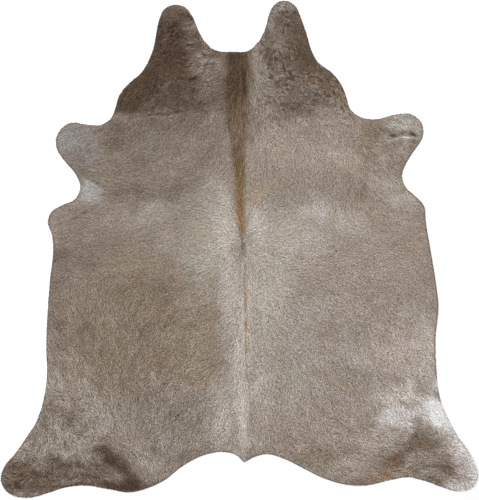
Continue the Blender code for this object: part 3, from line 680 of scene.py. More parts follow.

# Folds worn into the neck and tufts combed apart: a line's depth is its dip in the leather,
# and its shade darkens the hair there, as painted shade in the folds and as the hair's own
# darker tone in the tufts, or pales it where it is below nought.
LEFT_NECK_LINES = (
    Line("left_neck_fold_1", -155, 820, -105, 820, 3.5, 1.2, 1.0),
    Line("left_neck_fold_1_rise", -225, 850, -170, 820, 3.5, 0.8, 0.8),
    Line("left_neck_fold_2", -275, 760, -235, 750, 4.0, 1.2, 0.9),
    Line("left_neck_fold_2_end", -240, 750, -185, 760, 4.0, 1.2, 1.1),
    Line("left_neck_fold_2_tail", -195, 765, -165, 775, 3.5, 0.8, 0.7),
    Line("left_neck_fold_3", -235, 905, -190, 905, 3.0, 0.5, 0.7),
    Line("left_neck_fold_4", -165, 860, -110, 855, 6.0, 0.8, 0.8),
    Line("left_neck_fold_5", -410, 590, -345, 600, 4.0, 1.2, 0.9),
    Line("left_neck_fold_5_end", -345, 600, -245, 605, 4.0, 1.2, 0.9),
    Line("left_neck_fold_6", -170, 605, -140, 605, 6.0, 0.8, 1.0),
    Line("left_neck_fold_7", -110, 615, -85, 615, 4.0, 0.5, 0.7),
    Line("left_neck_fold_8", -185, 635, -160, 660, 4.5, 0.8, 0.8),
    Line("left_neck_fold_9", -245, 645, -205, 655, 3.5, 0.6, 0.5),
    Line("left_neck_fold_10", -260, 670, -230, 650, 3.5, 0.6, 0.5),
    Line("left_neck_fold_11", -270, 970, -230, 995, 3.5, 0.4, 0.6),
    Line("left_neck_fold_12", -250, 815, -205, 815, 4.0, 0.6, 0.6),
    Line("left_neck_fold_13", -395, 575, -370, 575, 3.5, 0.4, 0.6),
    Line("left_neck_worn_1", -245, 1000, -200, 1010, 3.5, 0.0, -0.6),
    Line("left_neck_worn_2", -265, 975, -235, 975, 3.0, 0.0, -0.9),
    Line("left_neck_worn_3", -240, 890, -190, 900, 3.5, 0.0, -0.8),
    Line("left_neck_worn_4", -230, 880, -185, 880, 3.0, 0.0, -0.6),
    Line("left_neck_worn_5", -235, 915, -195, 920, 3.0, 0.0, -0.5),
    Line("left_neck_worn_6", -275, 745, -210, 740, 3.0, 0.0, -0.4),
    Line("left_neck_worn_7", -180, 830, -110, 830, 3.5, 0.0, -0.5),
    Line("left_neck_worn_8", -350, 580, -255, 595, 3.0, 0.0, -0.4),
    Line("left_neck_worn_9", -230, 980, -195, 985, 3.0, 0.0, -0.6),
)
RIGHT_NECK_LINES = (
    Line("right_neck_fold_1", 155, 735, 180, 745, 5.0, 1.0, 1.1),
    Line("right_neck_fold_1_end", 180, 755, 235, 750, 3.5, 0.8, 0.8),
    Line("right_neck_fold_2", 180, 640, 275, 640, 4.5, 0.9, 0.8),
    Line("right_neck_fold_3", 175, 860, 215, 860, 3.0, 0.7, 0.6),
    Line("right_neck_fold_4", 110, 865, 120, 830, 4.0, 0.6, 0.8),
    Line("right_neck_fold_5", 200, 1045, 260, 1045, 5.0, 0.4, 0.8),
    Line("right_neck_fold_6", 115, 885, 165, 880, 4.0, 0.5, 0.6),
    Line("right_neck_fold_7", 205, 920, 245, 910, 6.0, 0.4, 0.6),
    Line("right_neck_fold_8", 110, 815, 145, 820, 4.0, 0.5, 0.6),
    Line("right_neck_fold_9", 325, 685, 360, 675, 7.0, 0.4, 0.7),
    Line("right_neck_fold_10", 170, 730, 195, 700, 4.0, 0.4, 0.6),
    Line("right_neck_fold_11", 45, 560, 160, 560, 3.0, 0.3, 0.4),
    Line("right_neck_fold_12", 110, 540, 130, 515, 3.5, 0.4, 0.5),
    Line("right_neck_worn_1", 150, 760, 200, 770, 3.0, 0.0, -0.9),
    Line("right_neck_worn_2", 210, 765, 250, 775, 3.0, 0.0, -0.6),
    Line("right_neck_worn_3", 305, 700, 350, 740, 3.0, 0.0, -0.9),
    Line("right_neck_worn_4", 320, 695, 355, 720, 2.5, 0.0, -0.6),
    Line("right_neck_worn_5", 290, 755, 325, 785, 3.0, 0.0, -0.6),
    Line("right_neck_worn_6", 280, 680, 300, 690, 3.0, 0.0, -0.6),
)
RIGHT_FORELEG_LINES = (
    Line("right_foreleg_tuft_1", 640, 535, 670, 515, 5.5, 0.6, 0.9),
    Line("right_foreleg_tuft_2", 680, 505, 700, 500, 7.0, 0.6, 1.1),
    Line("right_foreleg_tuft_3", 730, 525, 755, 520, 7.0, 0.6, 0.8),
    Line("right_foreleg_tuft_4", 755, 520, 785, 500, 6.5, 0.6, 1.1),
    Line("right_foreleg_tuft_5", 640, 575, 690, 575, 4.5, 0.3, 0.6),
    Line("right_foreleg_tuft_6", 735, 485, 790, 475, 6.0, 0.3, 0.5),
    Line("right_foreleg_edge_tuft", 690, 595, 745, 600, 4.0, 0.0, 0.8),
    Line("right_foreleg_worn_1", 645, 490, 700, 490, 3.5, 0.0, -0.7),
    Line("right_foreleg_worn_2", 725, 495, 770, 490, 3.5, 0.0, -0.7),
    Line("right_foreleg_worn_3", 675, 545, 745, 535, 6.0, 0.0, -0.5),
)
LEFT_FLANK_LINES = (
    Line("left_armpit_edge", -715, 330, -600, 255, 5.0, 0.0, -0.3),
    Line("left_armpit_shade", -665, 305, -600, 280, 5.0, 0.4, 0.5),
    Line("left_flank_streak_1", -790, 145, -765, 155, 5.0, 0.3, 0.6),
    Line("left_flank_streak_2", -750, 125, -715, 145, 4.0, 0.3, 0.6),
    Line("left_flank_streak_3", -705, 150, -675, 170, 5.0, 0.3, 0.6),
    Line("left_flank_streak_4", -655, 115, -635, 120, 5.0, 0.3, 0.7),
)
LEFT_HIND_LINES = (
    Line("left_hind_dark_1", -1020, -1045, -985, -1035, 5.0, 0.3, 0.7),
    Line("left_hind_dark_2", -1000, -1000, -850, -1005, 7.0, 0.3, 0.5),
    Line("left_hind_dark_3", -765, -955, -700, -960, 7.0, 0.3, 0.7),
    Line("left_hind_dark_4", -985, -1045, -960, -1055, 5.0, 0.3, 0.7),
    Line("left_hind_dark_5", -700, -1000, -620, -1010, 5.0, 0.3, 0.5),
    Line("left_hind_pale_1", -700, -985, -665, -950, 2.5, 0.0, -0.9),
    Line("left_hind_pale_2", -955, -1055, -925, -1020, 2.5, 0.0, -0.9),
    Line("left_hind_pale_3", -970, -1010, -930, -985, 2.5, 0.0, -0.7),
    Line("left_hind_pale_4", -845, -1060, -800, -1020, 2.5, 0.0, -0.8),
    Line("left_hind_pale_5", -740, -1035, -700, -1000, 2.5, 0.0, -0.8),
    Line("left_hind_pale_6", -875, -1045, -855, -1015, 2.5, 0.0, -0.7),
    Line("left_hind_pale_7", -650, -1000, -600, -990, 3.0, 0.0, -0.7),
    Line("left_hind_pale_8", -1000, -1015, -960, -1015, 3.0, 0.0, -0.5),
    Line("left_hind_pale_9", -690, -895, -665, -870, 3.0, 0.0, -0.6),
)
RIGHT_HIND_LINES = (
    Line("right_hind_pale_1", 845, -900, 865, -865, 2.5, 0.0, -0.7),
    Line("right_hind_pale_2", 830, -835, 895, -820, 3.0, 0.0, -0.6),
    Line("right_hind_pale_3", 740, -960, 800, -925, 4.0, 0.0, -0.4),
    Line("right_hind_dark_1", 755, -845, 780, -815, 7.0, 0.3, 0.6),
    Line("right_hind_dark_2", 870, -790, 905, -795, 6.0, 0.0, 0.8),
    Line("right_hind_dark_3", 905, -735, 920, -735, 4.0, 0.0, 0.9),
    Line("right_hind_dark_4", 770, -985, 800, -980, 6.0, 0.3, 0.7),
    Line("right_hind_dark_5", 870, -1045, 905, -1055, 5.0, 0.0, 1.1),
    Line("right_thigh_shade", 865, -650, 895, -675, 8.0, 0.0, 0.7),
)
LINES = (
    LEFT_NECK_LINES
    + RIGHT_NECK_LINES
    + RIGHT_FORELEG_LINES
    + LEFT_FLANK_LINES
    + LEFT_HIND_LINES
    + RIGHT_HIND_LINES
)

# A line holds where its breaks' field, which varies about this level, nears 1. It sways by so
# many millimetres, runs past its ends by a share of its length and tapers over another.
LINE_HOLD = 0.75
LINE_SWAY = 1.5
LINE_OVERRUN = 0.08
LINE_TAPER = 0.25
# Beside the line stands a lip of lifted hair: its place and width in line widths, and the painted
# light on it, which turns to a darker lip beside a line that pales the hair
LIP_PLACE = 2.4
LIP_WIDTH = 1.3
LIP_PAINTED_LIGHT = 0.35

# Rim places where the hair stands out past the cut edge
FRINGES = (
    Fringe("left_foreleg", -785, 515, 90, 9.0, 12.0),
    Fringe("left_flank", -850, 115, 55, 6.0, 10.0),
    Fringe("left_belly", -830, -10, 90, 3.5, 9.0),
    Fringe("left_hind_toe", -980, -1080, 170, 6.0, 9.0),
    Fringe("left_hind_shank", -640, -1050, 150, 6.5, 10.0),
    Fringe("left_hind_band", -480, -1070, 120, 3.5, 9.0),
    Fringe("right_hind_toe", 1000, -1050, 180, 7.0, 10.0),
    Fringe("right_hind_side", 1040, -930, 140, 6.5, 10.0),
    Fringe("right_flank", 872, -440, 150, 5.5, 11.0),
    Fringe("right_foreleg", 800, 550, 90, 5.5, 9.0),
    Fringe("left_neck", -290, 1080, 80, 3.5, 9.0),
    Fringe("right_neck", 205, 1095, 80, 3.5, 9.0),
    Fringe("nape", 90, 880, 60, 4.0, 9.0),
    Fringe("right_rump", 620, -1030, 150, 4.0, 10.0),
)
# Elsewhere it stands out by so many millimetres, and each lock by a share between these two.
PLAIN_RIM_HAIR = 0.9
RIM_HAIR_SPREAD = (0.4, 1.0)
# Fringes are worked out within this many millimetres of the rim. A fringe fades out round its
# reach, its teeth are this sharp, and between them this share of its length is left.
RIM_HAIR_BAND = 24.0
FRINGE_FADE = 1.3
TEETH_SHARPNESS = 1.5
FRINGE_VALLEY = 0.25
# No lock is rooted nearer to the rim than the inset. Near it the hair leans outward, and the
# coat thins out: under the roots from the rim on, under the tips from a little past it.
ROOT_INSET = 0.8
RIM_LEAN = 1.3
RIM_LEAN_REACH = 9.0
COAT_THINNING = 16.0
TIP_THINNING = 3.0

# The leather's play under the coat and its least thickness, in millimetres
LEATHER_PLAY = 0.3
THINNEST_LEATHER = 1.0
# Tips of the locks, in millimetres: how far they stand over the coat, more so in tufts and
# each a little differently, how far over their roots at least, and the lowest that they come
TIP_LIFT = 0.45
TUFT_LIFT = 0.35
TIP_SCATTER = 0.3
LEAST_TIP_RISE = 0.4
LOWEST_TIP = 0.5
# Drop of a tip for each millimetre that it stands out past the rim
TIP_DROOP = 0.35
# A lock is widest at its belly, this share of the way to its tip. It is folded there by this
# share of its width, but stays so many millimetres over half its height.
BELLY_PLACE = 0.4
FOLD_DEPTH = 0.22
LOWEST_BELLY = 0.2
# Where the rim cuts a lock short, it keeps this many millimetres.
SHORTEST_LOCK = 1.5
# Spread of the locks' lengths and widths, as shares of the usual ones
LENGTH_SPREAD = (0.7, 1.25)
WIDTH_SPREAD = (0.75, 1.25)

# Side in millimetres of the patches that the grain of the locks is evened over, and how far
GRAIN_PATCH = 7.0
GRAIN_EVENNESS = 0.85
# Dark hairs stand out further from the usual tone than pale ones.
GRAIN_SKEW = 0.2
GRAIN_LIMITS = (-3.0, 2.0)
# Share of the locks that are guard hairs, how much longer and narrower they are, and how much
# paler than the usual tone; the down between them is darker than it.
GUARD_SHARE = 0.22
GUARD_LENGTH = 1.2
GUARD_WIDTH = 0.7
GUARD_LEVEL = 0.06
DOWN_LEVEL = -0.02

# Brightness of the grain side under the hair, as a share of the coat's
SKIN_SHARE = 0.62
# The cut edge has this many points for each of the solid's, ripples by so many millimetres,
# and is rounded over the shoulder's width. Inner points keep clear of it on either side.
EDGE_PARTS = 3
EDGE_RIPPLE = 0.5
SHOULDER_WIDTH = 1.6
TOP_CLEARANCE = 6.0
UNDER_CLEARANCE = 9.0
# Points of a sheet nearer to each other than this would count as one.
MERGE_REACH = 1e-4
# Share of the UV square that is left free on every side
UV_MARGIN = 0.01
# Places of the leather's materials in its list
HAIR_SIDE, CUT_EDGE, FLESH_SIDE = range(3)

# Slope of each colour channel against brightness: dark hairs are redder, pale ones bluer.
TINT_SLOPES = (0.90, 0.995, 1.105)
# The gloss of the lit hair adds this much brightness to every colour, and the shade between
# the locks takes a share away; both are allowed for, so that the coat shows the drawn colours.
GLOSS = 0.036
COAT_LEVEL = 1.05
# Colours are held between these two, and the levels of brightness between the limits.
DARKEST = 0.004
PALEST = 0.9
LEVEL_LIMITS = (-1.5, 0.9)
# The coat is darker within so many millimetres of the cut rim, as painted shade at the cut edge
# together with the darker roots of the hair that hangs over it, but not in its white places, which
# set in at the pale level and are full a little above it.
RIM_SHADE = 0.95
RIM_SHADE_REACH = 6.5
PALE_FROM = 0.36
PALE_REACH = 0.2
# All over, the coat is unevenly bright in patches of a few centimetres.
SWELL = 0.02
# Shares by which the red, green and blue of the coat drift over a hand's breadth
TINT_DRIFT = (0.006, -0.001, -0.008)
# How strongly the lines darken the hair, with painted shade in the folds, or pale it
LINE_STRENGTH = 0.85

# In metres: the floor lies this far under the rug, the softbox hangs on its neck side and to
# the left, and the camera sees this far. Its sensor's width is in millimetres.
FLOOR_DROP = 0.0004
SOFTBOX_SIZE = 5.0
SOFTBOX_PLACE = (-1.6, 2.0, 5.2)
FAR_CLIP = 100.0
SENSOR_WIDTH = 36.0

# The coat is laid in pieces; each takes the locks rooted between its two heights up the hide.
COAT_PIECES = (
    ("coat_neck", 520.0, 1200.0),
    ("coat_shoulders", 150.0, 520.0),
    ("coat_back", -190.0, 150.0),
    ("coat_loin", -520.0, -190.0),
    ("coat_rump", -830.0, -520.0),
    ("coat_hind_shanks", -1200.0, -830.0),
)


def linear_colour(code):
    """Linear RGBA of an sRGB hex value."""
    channels = [int(code[place:place + 2], 16) / 255.0 for place in (0, 2, 4)]
    linear = [value / 12.92 if value <= 0.04045 else ((value + 0.055) / 1.055) ** 2.4
              for value in channels]
    return (*linear, 1.0)


def hair(tone):
    """Linear RGB of a named tone of hair."""
    return linear_colour(HAIR[tone])[:3]


def fade(value):
    """Smooth step of a value from 0 to 1."""
    held = np.clip(value, 0.0, 1.0)
    return held * held * (3.0 - 2.0 * held)


def unit(vectors):
    """Vectors brought to a length of one; a vector without length is kept."""
    lengths = np.linalg.norm(vectors, axis=-1, keepdims=True)
    return vectors / np.maximum(lengths, TINY)


class SkinSettings(bpy.types.PropertyGroup):
    """Sizes and colours of the leather."""

    top_step: FloatProperty(
        name="Hair side step", description="Spacing of the points on the hair side",
        default=14.0 * MM, min=0.003, unit="LENGTH", subtype="DISTANCE")
    under_step: FloatProperty(
        name="Flesh side step", description="Spacing of the points on the flesh side",
        default=24.0 * MM, min=0.005, unit="LENGTH", subtype="DISTANCE")
    coat_depth: FloatProperty(
        name="Coat depth", description="How far the leather lies under the top of the coat",
        default=2.4 * MM, min=0.0, unit="LENGTH", subtype="DISTANCE")
    rim_inset: FloatProperty(
        name="Rim inset", description="How far the cut edge lies inside the outline of the coat",
        default=1.2 * MM, min=0.0, unit="LENGTH", subtype="DISTANCE")
    suede: FloatVectorProperty(
        name="Flesh side", description="Colour of the buffed flesh side",
        default=linear_colour("b7a794"), size=4, min=0.0, max=1.0, subtype="COLOR")
    cut_edge: FloatVectorProperty(
        name="Cut edge", description="Colour of the leather where it is cut",
        default=linear_colour("8f8474"), size=4, min=0.0, max=1.0, subtype="COLOR")


class CoatSettings(bpy.types.PropertyGroup):
    """Sizes and colours of the hair."""

    spacing: FloatProperty(
        name="Lock spacing", description="Spacing of the roots of the hair locks",
        default=2.85 * MM, min=0.002, unit="LENGTH", subtype="DISTANCE")
    length: FloatProperty(
        name="Lock length", description="Usual length of a hair lock",
        default=14.0 * MM, min=0.004, unit="LENGTH", subtype="DISTANCE")
    width: FloatProperty(
        name="Lock width", description="Usual width of a hair lock",
        default=2.3 * MM, min=0.0005, unit="LENGTH", subtype="DISTANCE")
    seed: IntProperty(
        name="Seed", description="Number that the scatter of the locks starts from", default=7)
    ground: FloatVectorProperty(
        name="Ground colour", description="Colour of the coat outside its markings",
        default=linear_colour(HAIR["mushroom"]), size=4, min=0.0, max=1.0, subtype="COLOR")


class StudioSettings(bpy.types.PropertyGroup):
    """Camera, light and floor."""

    lens: FloatProperty(
        name="Lens", description="Focal length of the camera in millimetres",
        default=70.0, min=20.0, max=200.0)
    floor: FloatVectorProperty(
        name="Floor", description="Colour of the painted floor",
        default=linear_colour("f7f7f7"), size=4, min=0.0, max=1.0, subtype="COLOR")
    floor_side: FloatProperty(
        name="Floor side", description="Length of a side of the floor",
        default=16.0, min=4.0, unit="LENGTH", subtype="DISTANCE")
    key_power: FloatProperty(
        name="Key power", description="Power of the large overhead softbox in watts",
        default=330.0, min=0.0)
    fill_level: FloatProperty(
        name="Fill level", description="Brightness of the white surroundings",
        default=0.55, min=0.0)


class Ground:
    """Even grid over the hide that holds fields, reads them anywhere and draws random ones."""

    def __init__(self, step, seed):
        self.seed = seed
        half = np.array((CAD_WIDTH, CAD_LENGTH)) / MM / 2.0 + FIELD_MARGIN
        self.step = step
        self.low = -half
        self.columns, self.rows = (int(side) + 2 for side in 2.0 * half / step)
        across = self.low[0] + step * np.arange(self.columns)
        along = self.low[1] + step * np.arange(self.rows)
        self.x, self.y = np.meshgrid(across, along)

    def places(self):
        """All points of the grid, row by row."""
        return np.column_stack([self.x.ravel(), self.y.ravel()])

    def read(self, field, places):
        """Value of a field at places, mixed from the four nearest points."""
        column = np.clip((places[:, 0] - self.low[0]) / self.step, 0.0, self.columns - LAST_CELL)
        row = np.clip((places[:, 1] - self.low[1]) / self.step, 0.0, self.rows - LAST_CELL)
        left = column.astype(int)
        low = row.astype(int)
        right_share = column - left
        high_share = row - low
        if field.ndim == 3:
            right_share = right_share[:, None]
            high_share = high_share[:, None]
        lower = field[low, left] * (1.0 - right_share) + field[low, left + 1] * right_share
        upper = field[low + 1, left] * (1.0 - right_share) + field[low + 1, left + 1] * right_share
        return lower * (1.0 - high_share) + upper * high_share

    def mottle(self, blot):
        """Smooth random field whose blots are about as large, and spread as far, as named."""
        rng = np.random.default_rng(self.seed + blot.draw)
        noise = rng.standard_normal((self.rows, self.columns))
        turn_x = np.fft.fftfreq(self.columns, self.step)
        turn_y = np.fft.fftfreq(self.rows, self.step)
        reach = turn_x[None, :] ** 2 + turn_y[:, None] ** 2
        blur = np.exp(-2.0 * (math.pi * blot.size / BLOT_BLURS) ** 2 * reach)
        field = np.fft.ifft2(np.fft.fft2(noise) * blur).real
        return blot.strength * ((field - field.mean()) / field.std())


def node_triangles():
    """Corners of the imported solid's triangles in millimetres."""
    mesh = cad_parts[HIDE_NODE].data
    mesh.calc_loop_triangles()
    points = np.zeros(len(mesh.vertices) * 3)
    mesh.vertices.foreach_get("co", points)
    points = points.reshape(-1, 3) / MM
    corners = np.zeros(len(mesh.loop_triangles) * 3, dtype=np.int32)
    mesh.loop_triangles.foreach_get("vertices", corners)
    merged, place = np.unique(np.round(points, 3), axis=0, return_inverse=True)
    return merged, place.ravel()[corners].reshape(-1, 3)


def rim_of(points, triangles):
    """Outline of the solid, anticlockwise: the edges between its upper and lower side."""
    first, second, third = (points[triangles[:, index]] for index in range(3))
    facing = (second[:, 0] - first[:, 0]) * (third[:, 1] - first[:, 1])
    facing -= (second[:, 1] - first[:, 1]) * (third[:, 0] - first[:, 0])
    upper = triangles[facing > 0.0]
    edges = {(int(start), int(end)) for start, end in
             np.vstack([upper[:, (0, 1)], upper[:, (1, 2)], upper[:, (2, 0)]])}
    following = {start: end for start, end in edges if (end, start) not in edges}
    start = min(following)
    loop = [start]
    while following[loop[-1]] != start:
        loop.append(following[loop[-1]])
    if len(loop) != len(following):
        raise RuntimeError("the solid's outline isn't one closed loop")
    return points[loop][:, :2]


def rim_distance(places, rim):
    """Distance of places from the rim, negative outside."""
    nearest = np.full(len(places), np.inf)
    inside = np.zeros(len(places), dtype=bool)
    for (x0, y0), (x1, y1) in zip(rim, np.roll(rim, -1, axis=0)):
        step_x, step_y = x1 - x0, y1 - y0
        off_x, off_y = places[:, 0] - x0, places[:, 1] - y0
        share = np.clip((off_x * step_x + off_y * step_y) / (step_x ** 2 + step_y ** 2), 0.0, 1.0)
        gap = (off_x - share * step_x) ** 2 + (off_y - share * step_y) ** 2
        nearest = np.minimum(nearest, gap)
        if y0 != y1:
            crosses = (places[:, 1] > y0) != (places[:, 1] > y1)
            inside ^= crosses & (off_x < off_y * step_x / step_y)
    return np.where(inside, 1.0, -1.0) * np.sqrt(nearest)


def side_heights(ground, gap, points, triangles):
    """Heights of the solid's upper and lower side on a grid, carried on past the rim."""
    tree = BVHTree.FromPolygons([tuple(point) for point in points], triangles.tolist())
    high = float(points[:, 2].max()) + PROBE_LIFT
    heights = []
    for start, aim in ((high, Vector((0.0, 0.0, -1.0))), (-high, Vector((0.0, 0.0, 1.0)))):
        field = np.full(gap.shape, np.nan)
        for row, column in zip(*np.nonzero(gap > PROBE_RIM)):
            place = Vector((ground.x[row, column], ground.y[row, column], start))
            hit = tree.ray_cast(place, aim)
            if hit[0] is not None:
                field[row, column] = hit[0].z
        heights.append(carry_outward(field))
    return heights


def carry_outward(field):
    """Fills the unknown points of a field from their known neighbours, ring by ring."""
    field = field.copy()
    while np.isnan(field).any():
        known = ~np.isnan(field)
        filled = np.where(known, field, 0.0)
        total = np.zeros(field.shape)
        count = np.zeros(field.shape)
        for shift, axis in ((1, 0), (-1, 0), (1, 1), (-1, 1)):
            total += np.roll(filled, shift, axis=axis)
            count += np.roll(known, shift, axis=axis)
        ready = ~known & (count > 0)
        field[ready] = total[ready] / count[ready]
    return field


def comb_field(ground):
    """Direction that the coat lies in, as unit vectors."""
    pull = np.zeros((ground.rows, ground.columns, 2))
    for comb in COMBS:
        reach = ((ground.x - comb.x) ** 2 + (ground.y - comb.y) ** 2) / comb.reach ** 2
        weight = np.exp(-0.5 * reach) + FAR_PULL / (1.0 + reach) ** 2
        heading = math.radians(comb.heading)
        pull[..., 0] += weight * math.cos(heading)
        pull[..., 1] += weight * math.sin(heading)
    away = np.stack([ground.x - WHORL.x, ground.y - WHORL.y], axis=-1)
    distance = np.linalg.norm(away, axis=-1, keepdims=True)
    pull += WHORL_PULL * np.exp(-0.5 * (distance / WHORL.reach) ** 2) * unit(away)
    return unit(pull)


def turned(directions, angle):
    """Directions turned by an angle in radians."""
    cosine, sine = np.cos(angle), np.sin(angle)
    return np.stack([directions[..., 0] * cosine - directions[..., 1] * sine,
                     directions[..., 0] * sine + directions[..., 1] * cosine], axis=-1)


def texture_fields(ground):
    """Columns of the texture table as fields, mixed from the named places."""
    places = ground.places()
    stripe = stripe_weight(places, STRIPE_CALM_SPREAD).reshape(ground.x.shape)
    total = np.ones(ground.x.shape) * BODY_WEIGHT
    mixed = [total * value for value in BODY_TEXTURE[4:]]
    for texture in TEXTURES:
        reach = np.hypot(ground.x - texture.x, ground.y - texture.y) / texture.reach
        weight = np.exp(-0.5 * reach ** 4)
        total = total + weight
        mixed = [field + weight * value for field, value in zip(mixed, texture[4:])]
    fields = {name: field / total for name, field in zip(Texture._fields[4:], mixed)}
    for name in ("tuft", "sweep", "pocket", "wisp", "crumple", "curl"):
        fields[name] = fields[name] * (1.0 - STRIPE_CALM * stripe)
    return fields


def streaks(ground, directions, streak):
    """Random field of unit spread, drawn out along the hair."""
    noise = ground.mottle(Blot(streak.width, 1.0, streak.draw))
    heading = directions.reshape(-1, 2)
    places = ground.places()
    steps = max(2, int(round(streak.length / 2.0 / ground.step)))
    total = np.zeros(len(places))
    for step in range(-steps, steps + 1):
        weight = math.cos(0.5 * math.pi * step / (steps + 1)) ** 2
        total += weight * ground.read(noise, places + heading * step * ground.step)
    field = total.reshape(ground.x.shape)
    return (field - field.mean()) / field.std()


def crumples(ground):
    """Net of winding wrinkles in stiff hide as painted shade and light: painted shade in each
    furrow, painted light on the two brows beside it.
    """
    net = ground.mottle(WRINKLE_NET) + ground.mottle(WRINKLE_DETAIL)
    furrow = np.exp(-(net / FURROW_WIDTH) ** 2)
    brow = np.exp(-((np.abs(net) - BROW_PLACE) / BROW_WIDTH) ** 2)
    breaks = fade(WRINKLE_HOLD + ground.mottle(WRINKLE_BREAKS))
    return (BROW_PAINTED_LIGHT * brow - FURROW_PAINTED_SHADE * furrow) * breaks + WRINKLE_MEAN


def line_fields(ground, wobble):
    """Depth in millimetres and shade of the lines, which break up along their length: painted shade
    in the folds with painted light on their lips, the hair's own tone elsewhere.
    """
    breaks = fade(LINE_HOLD + ground.mottle(LINE_BREAKS))
    depth = np.zeros(ground.x.shape)
    shade = np.zeros(ground.x.shape)
    for line in LINES:
        start = np.array((line.x0, line.y0), dtype=float)
        step = np.array((line.x1, line.y1)) - start
        length = np.linalg.norm(step)
        along = step / length
        off_x, off_y = ground.x - line.x0, ground.y - line.y0
        share = (off_x * along[0] + off_y * along[1]) / length
        across = off_y * along[0] - off_x * along[1]
        across = (across + LINE_SWAY * wobble) / line.width
        ends = fade((share + LINE_OVERRUN) / LINE_TAPER)
        ends *= fade((1.0 + LINE_OVERRUN - share) / LINE_TAPER)
        profile = ends * np.exp(-0.5 * across ** 2)
        lip = ends * np.exp(-0.5 * ((across - LIP_PLACE) / LIP_WIDTH) ** 2)
        depth = np.maximum(depth, line.depth * profile)
        # Painted shade along a fold, and painted light on the lip beside it
        shade += line.shade * breaks * (profile - LIP_PAINTED_LIGHT * lip)
    return depth, shade


def oval_weight(zone, places):
    """Strength of a marking at places."""
    turn = math.radians(zone.turn)
    off_x, off_y = places[:, 0] - zone.x, places[:, 1] - zone.y
    along = (off_x * math.cos(turn) + off_y * math.sin(turn)) / zone.along
    across = (off_y * math.cos(turn) - off_x * math.sin(turn)) / zone.across
    return zone.strength * fade((1.0 - np.hypot(along, across)) / zone.soft)


def laid_over(colours, weight, colour):
    """Colours with another laid over them as strongly as the weight says."""
    return colours + weight[:, None] * (np.asarray(colour) - colours)


def along_stripe(places, values):
    """Values of the stripe's bands, one for each, mixed for the heights of places."""
    heights = [band.y for band in SPINE_STRIPE]
    return np.interp(places[:, 1], heights[::-1], values[::-1])


def stripe_weight(places, spread=1.0):
    """Strength of the dark spine stripe at places; spread makes the stripe wider."""
    middle = along_stripe(places, [band.x for band in SPINE_STRIPE])
    width = spread * along_stripe(places, [band.half_width for band in SPINE_STRIPE])
    strength = along_stripe(places, [band.strength for band in SPINE_STRIPE])
    off = np.abs(places[:, 0] - middle) / width
    return strength * fade((STRIPE_EDGE - off) / STRIPE_SOFTNESS)


def coat_colour(places, wander):
    """Colour of the coat at places: the ground colour with each marking laid over it."""
    colours = np.tile(bpy.context.scene.cowhide_coat.ground[:3], (len(places), 1))
    wandered = places + wander
    for zone in ZONES:
        colours = laid_over(colours, oval_weight(zone, wandered), hair(zone.tone))
    channels = zip(*(hair(band.tone) for band in SPINE_STRIPE))
    stripe = np.column_stack([along_stripe(places, channel) for channel in channels])
    near = places + STRIPE_WANDER * wander
    colours = laid_over(colours, stripe_weight(near), stripe)
    for zone in SPINE_MARKS:
        colours = laid_over(colours, oval_weight(zone, near), hair(zone.tone))
    return colours


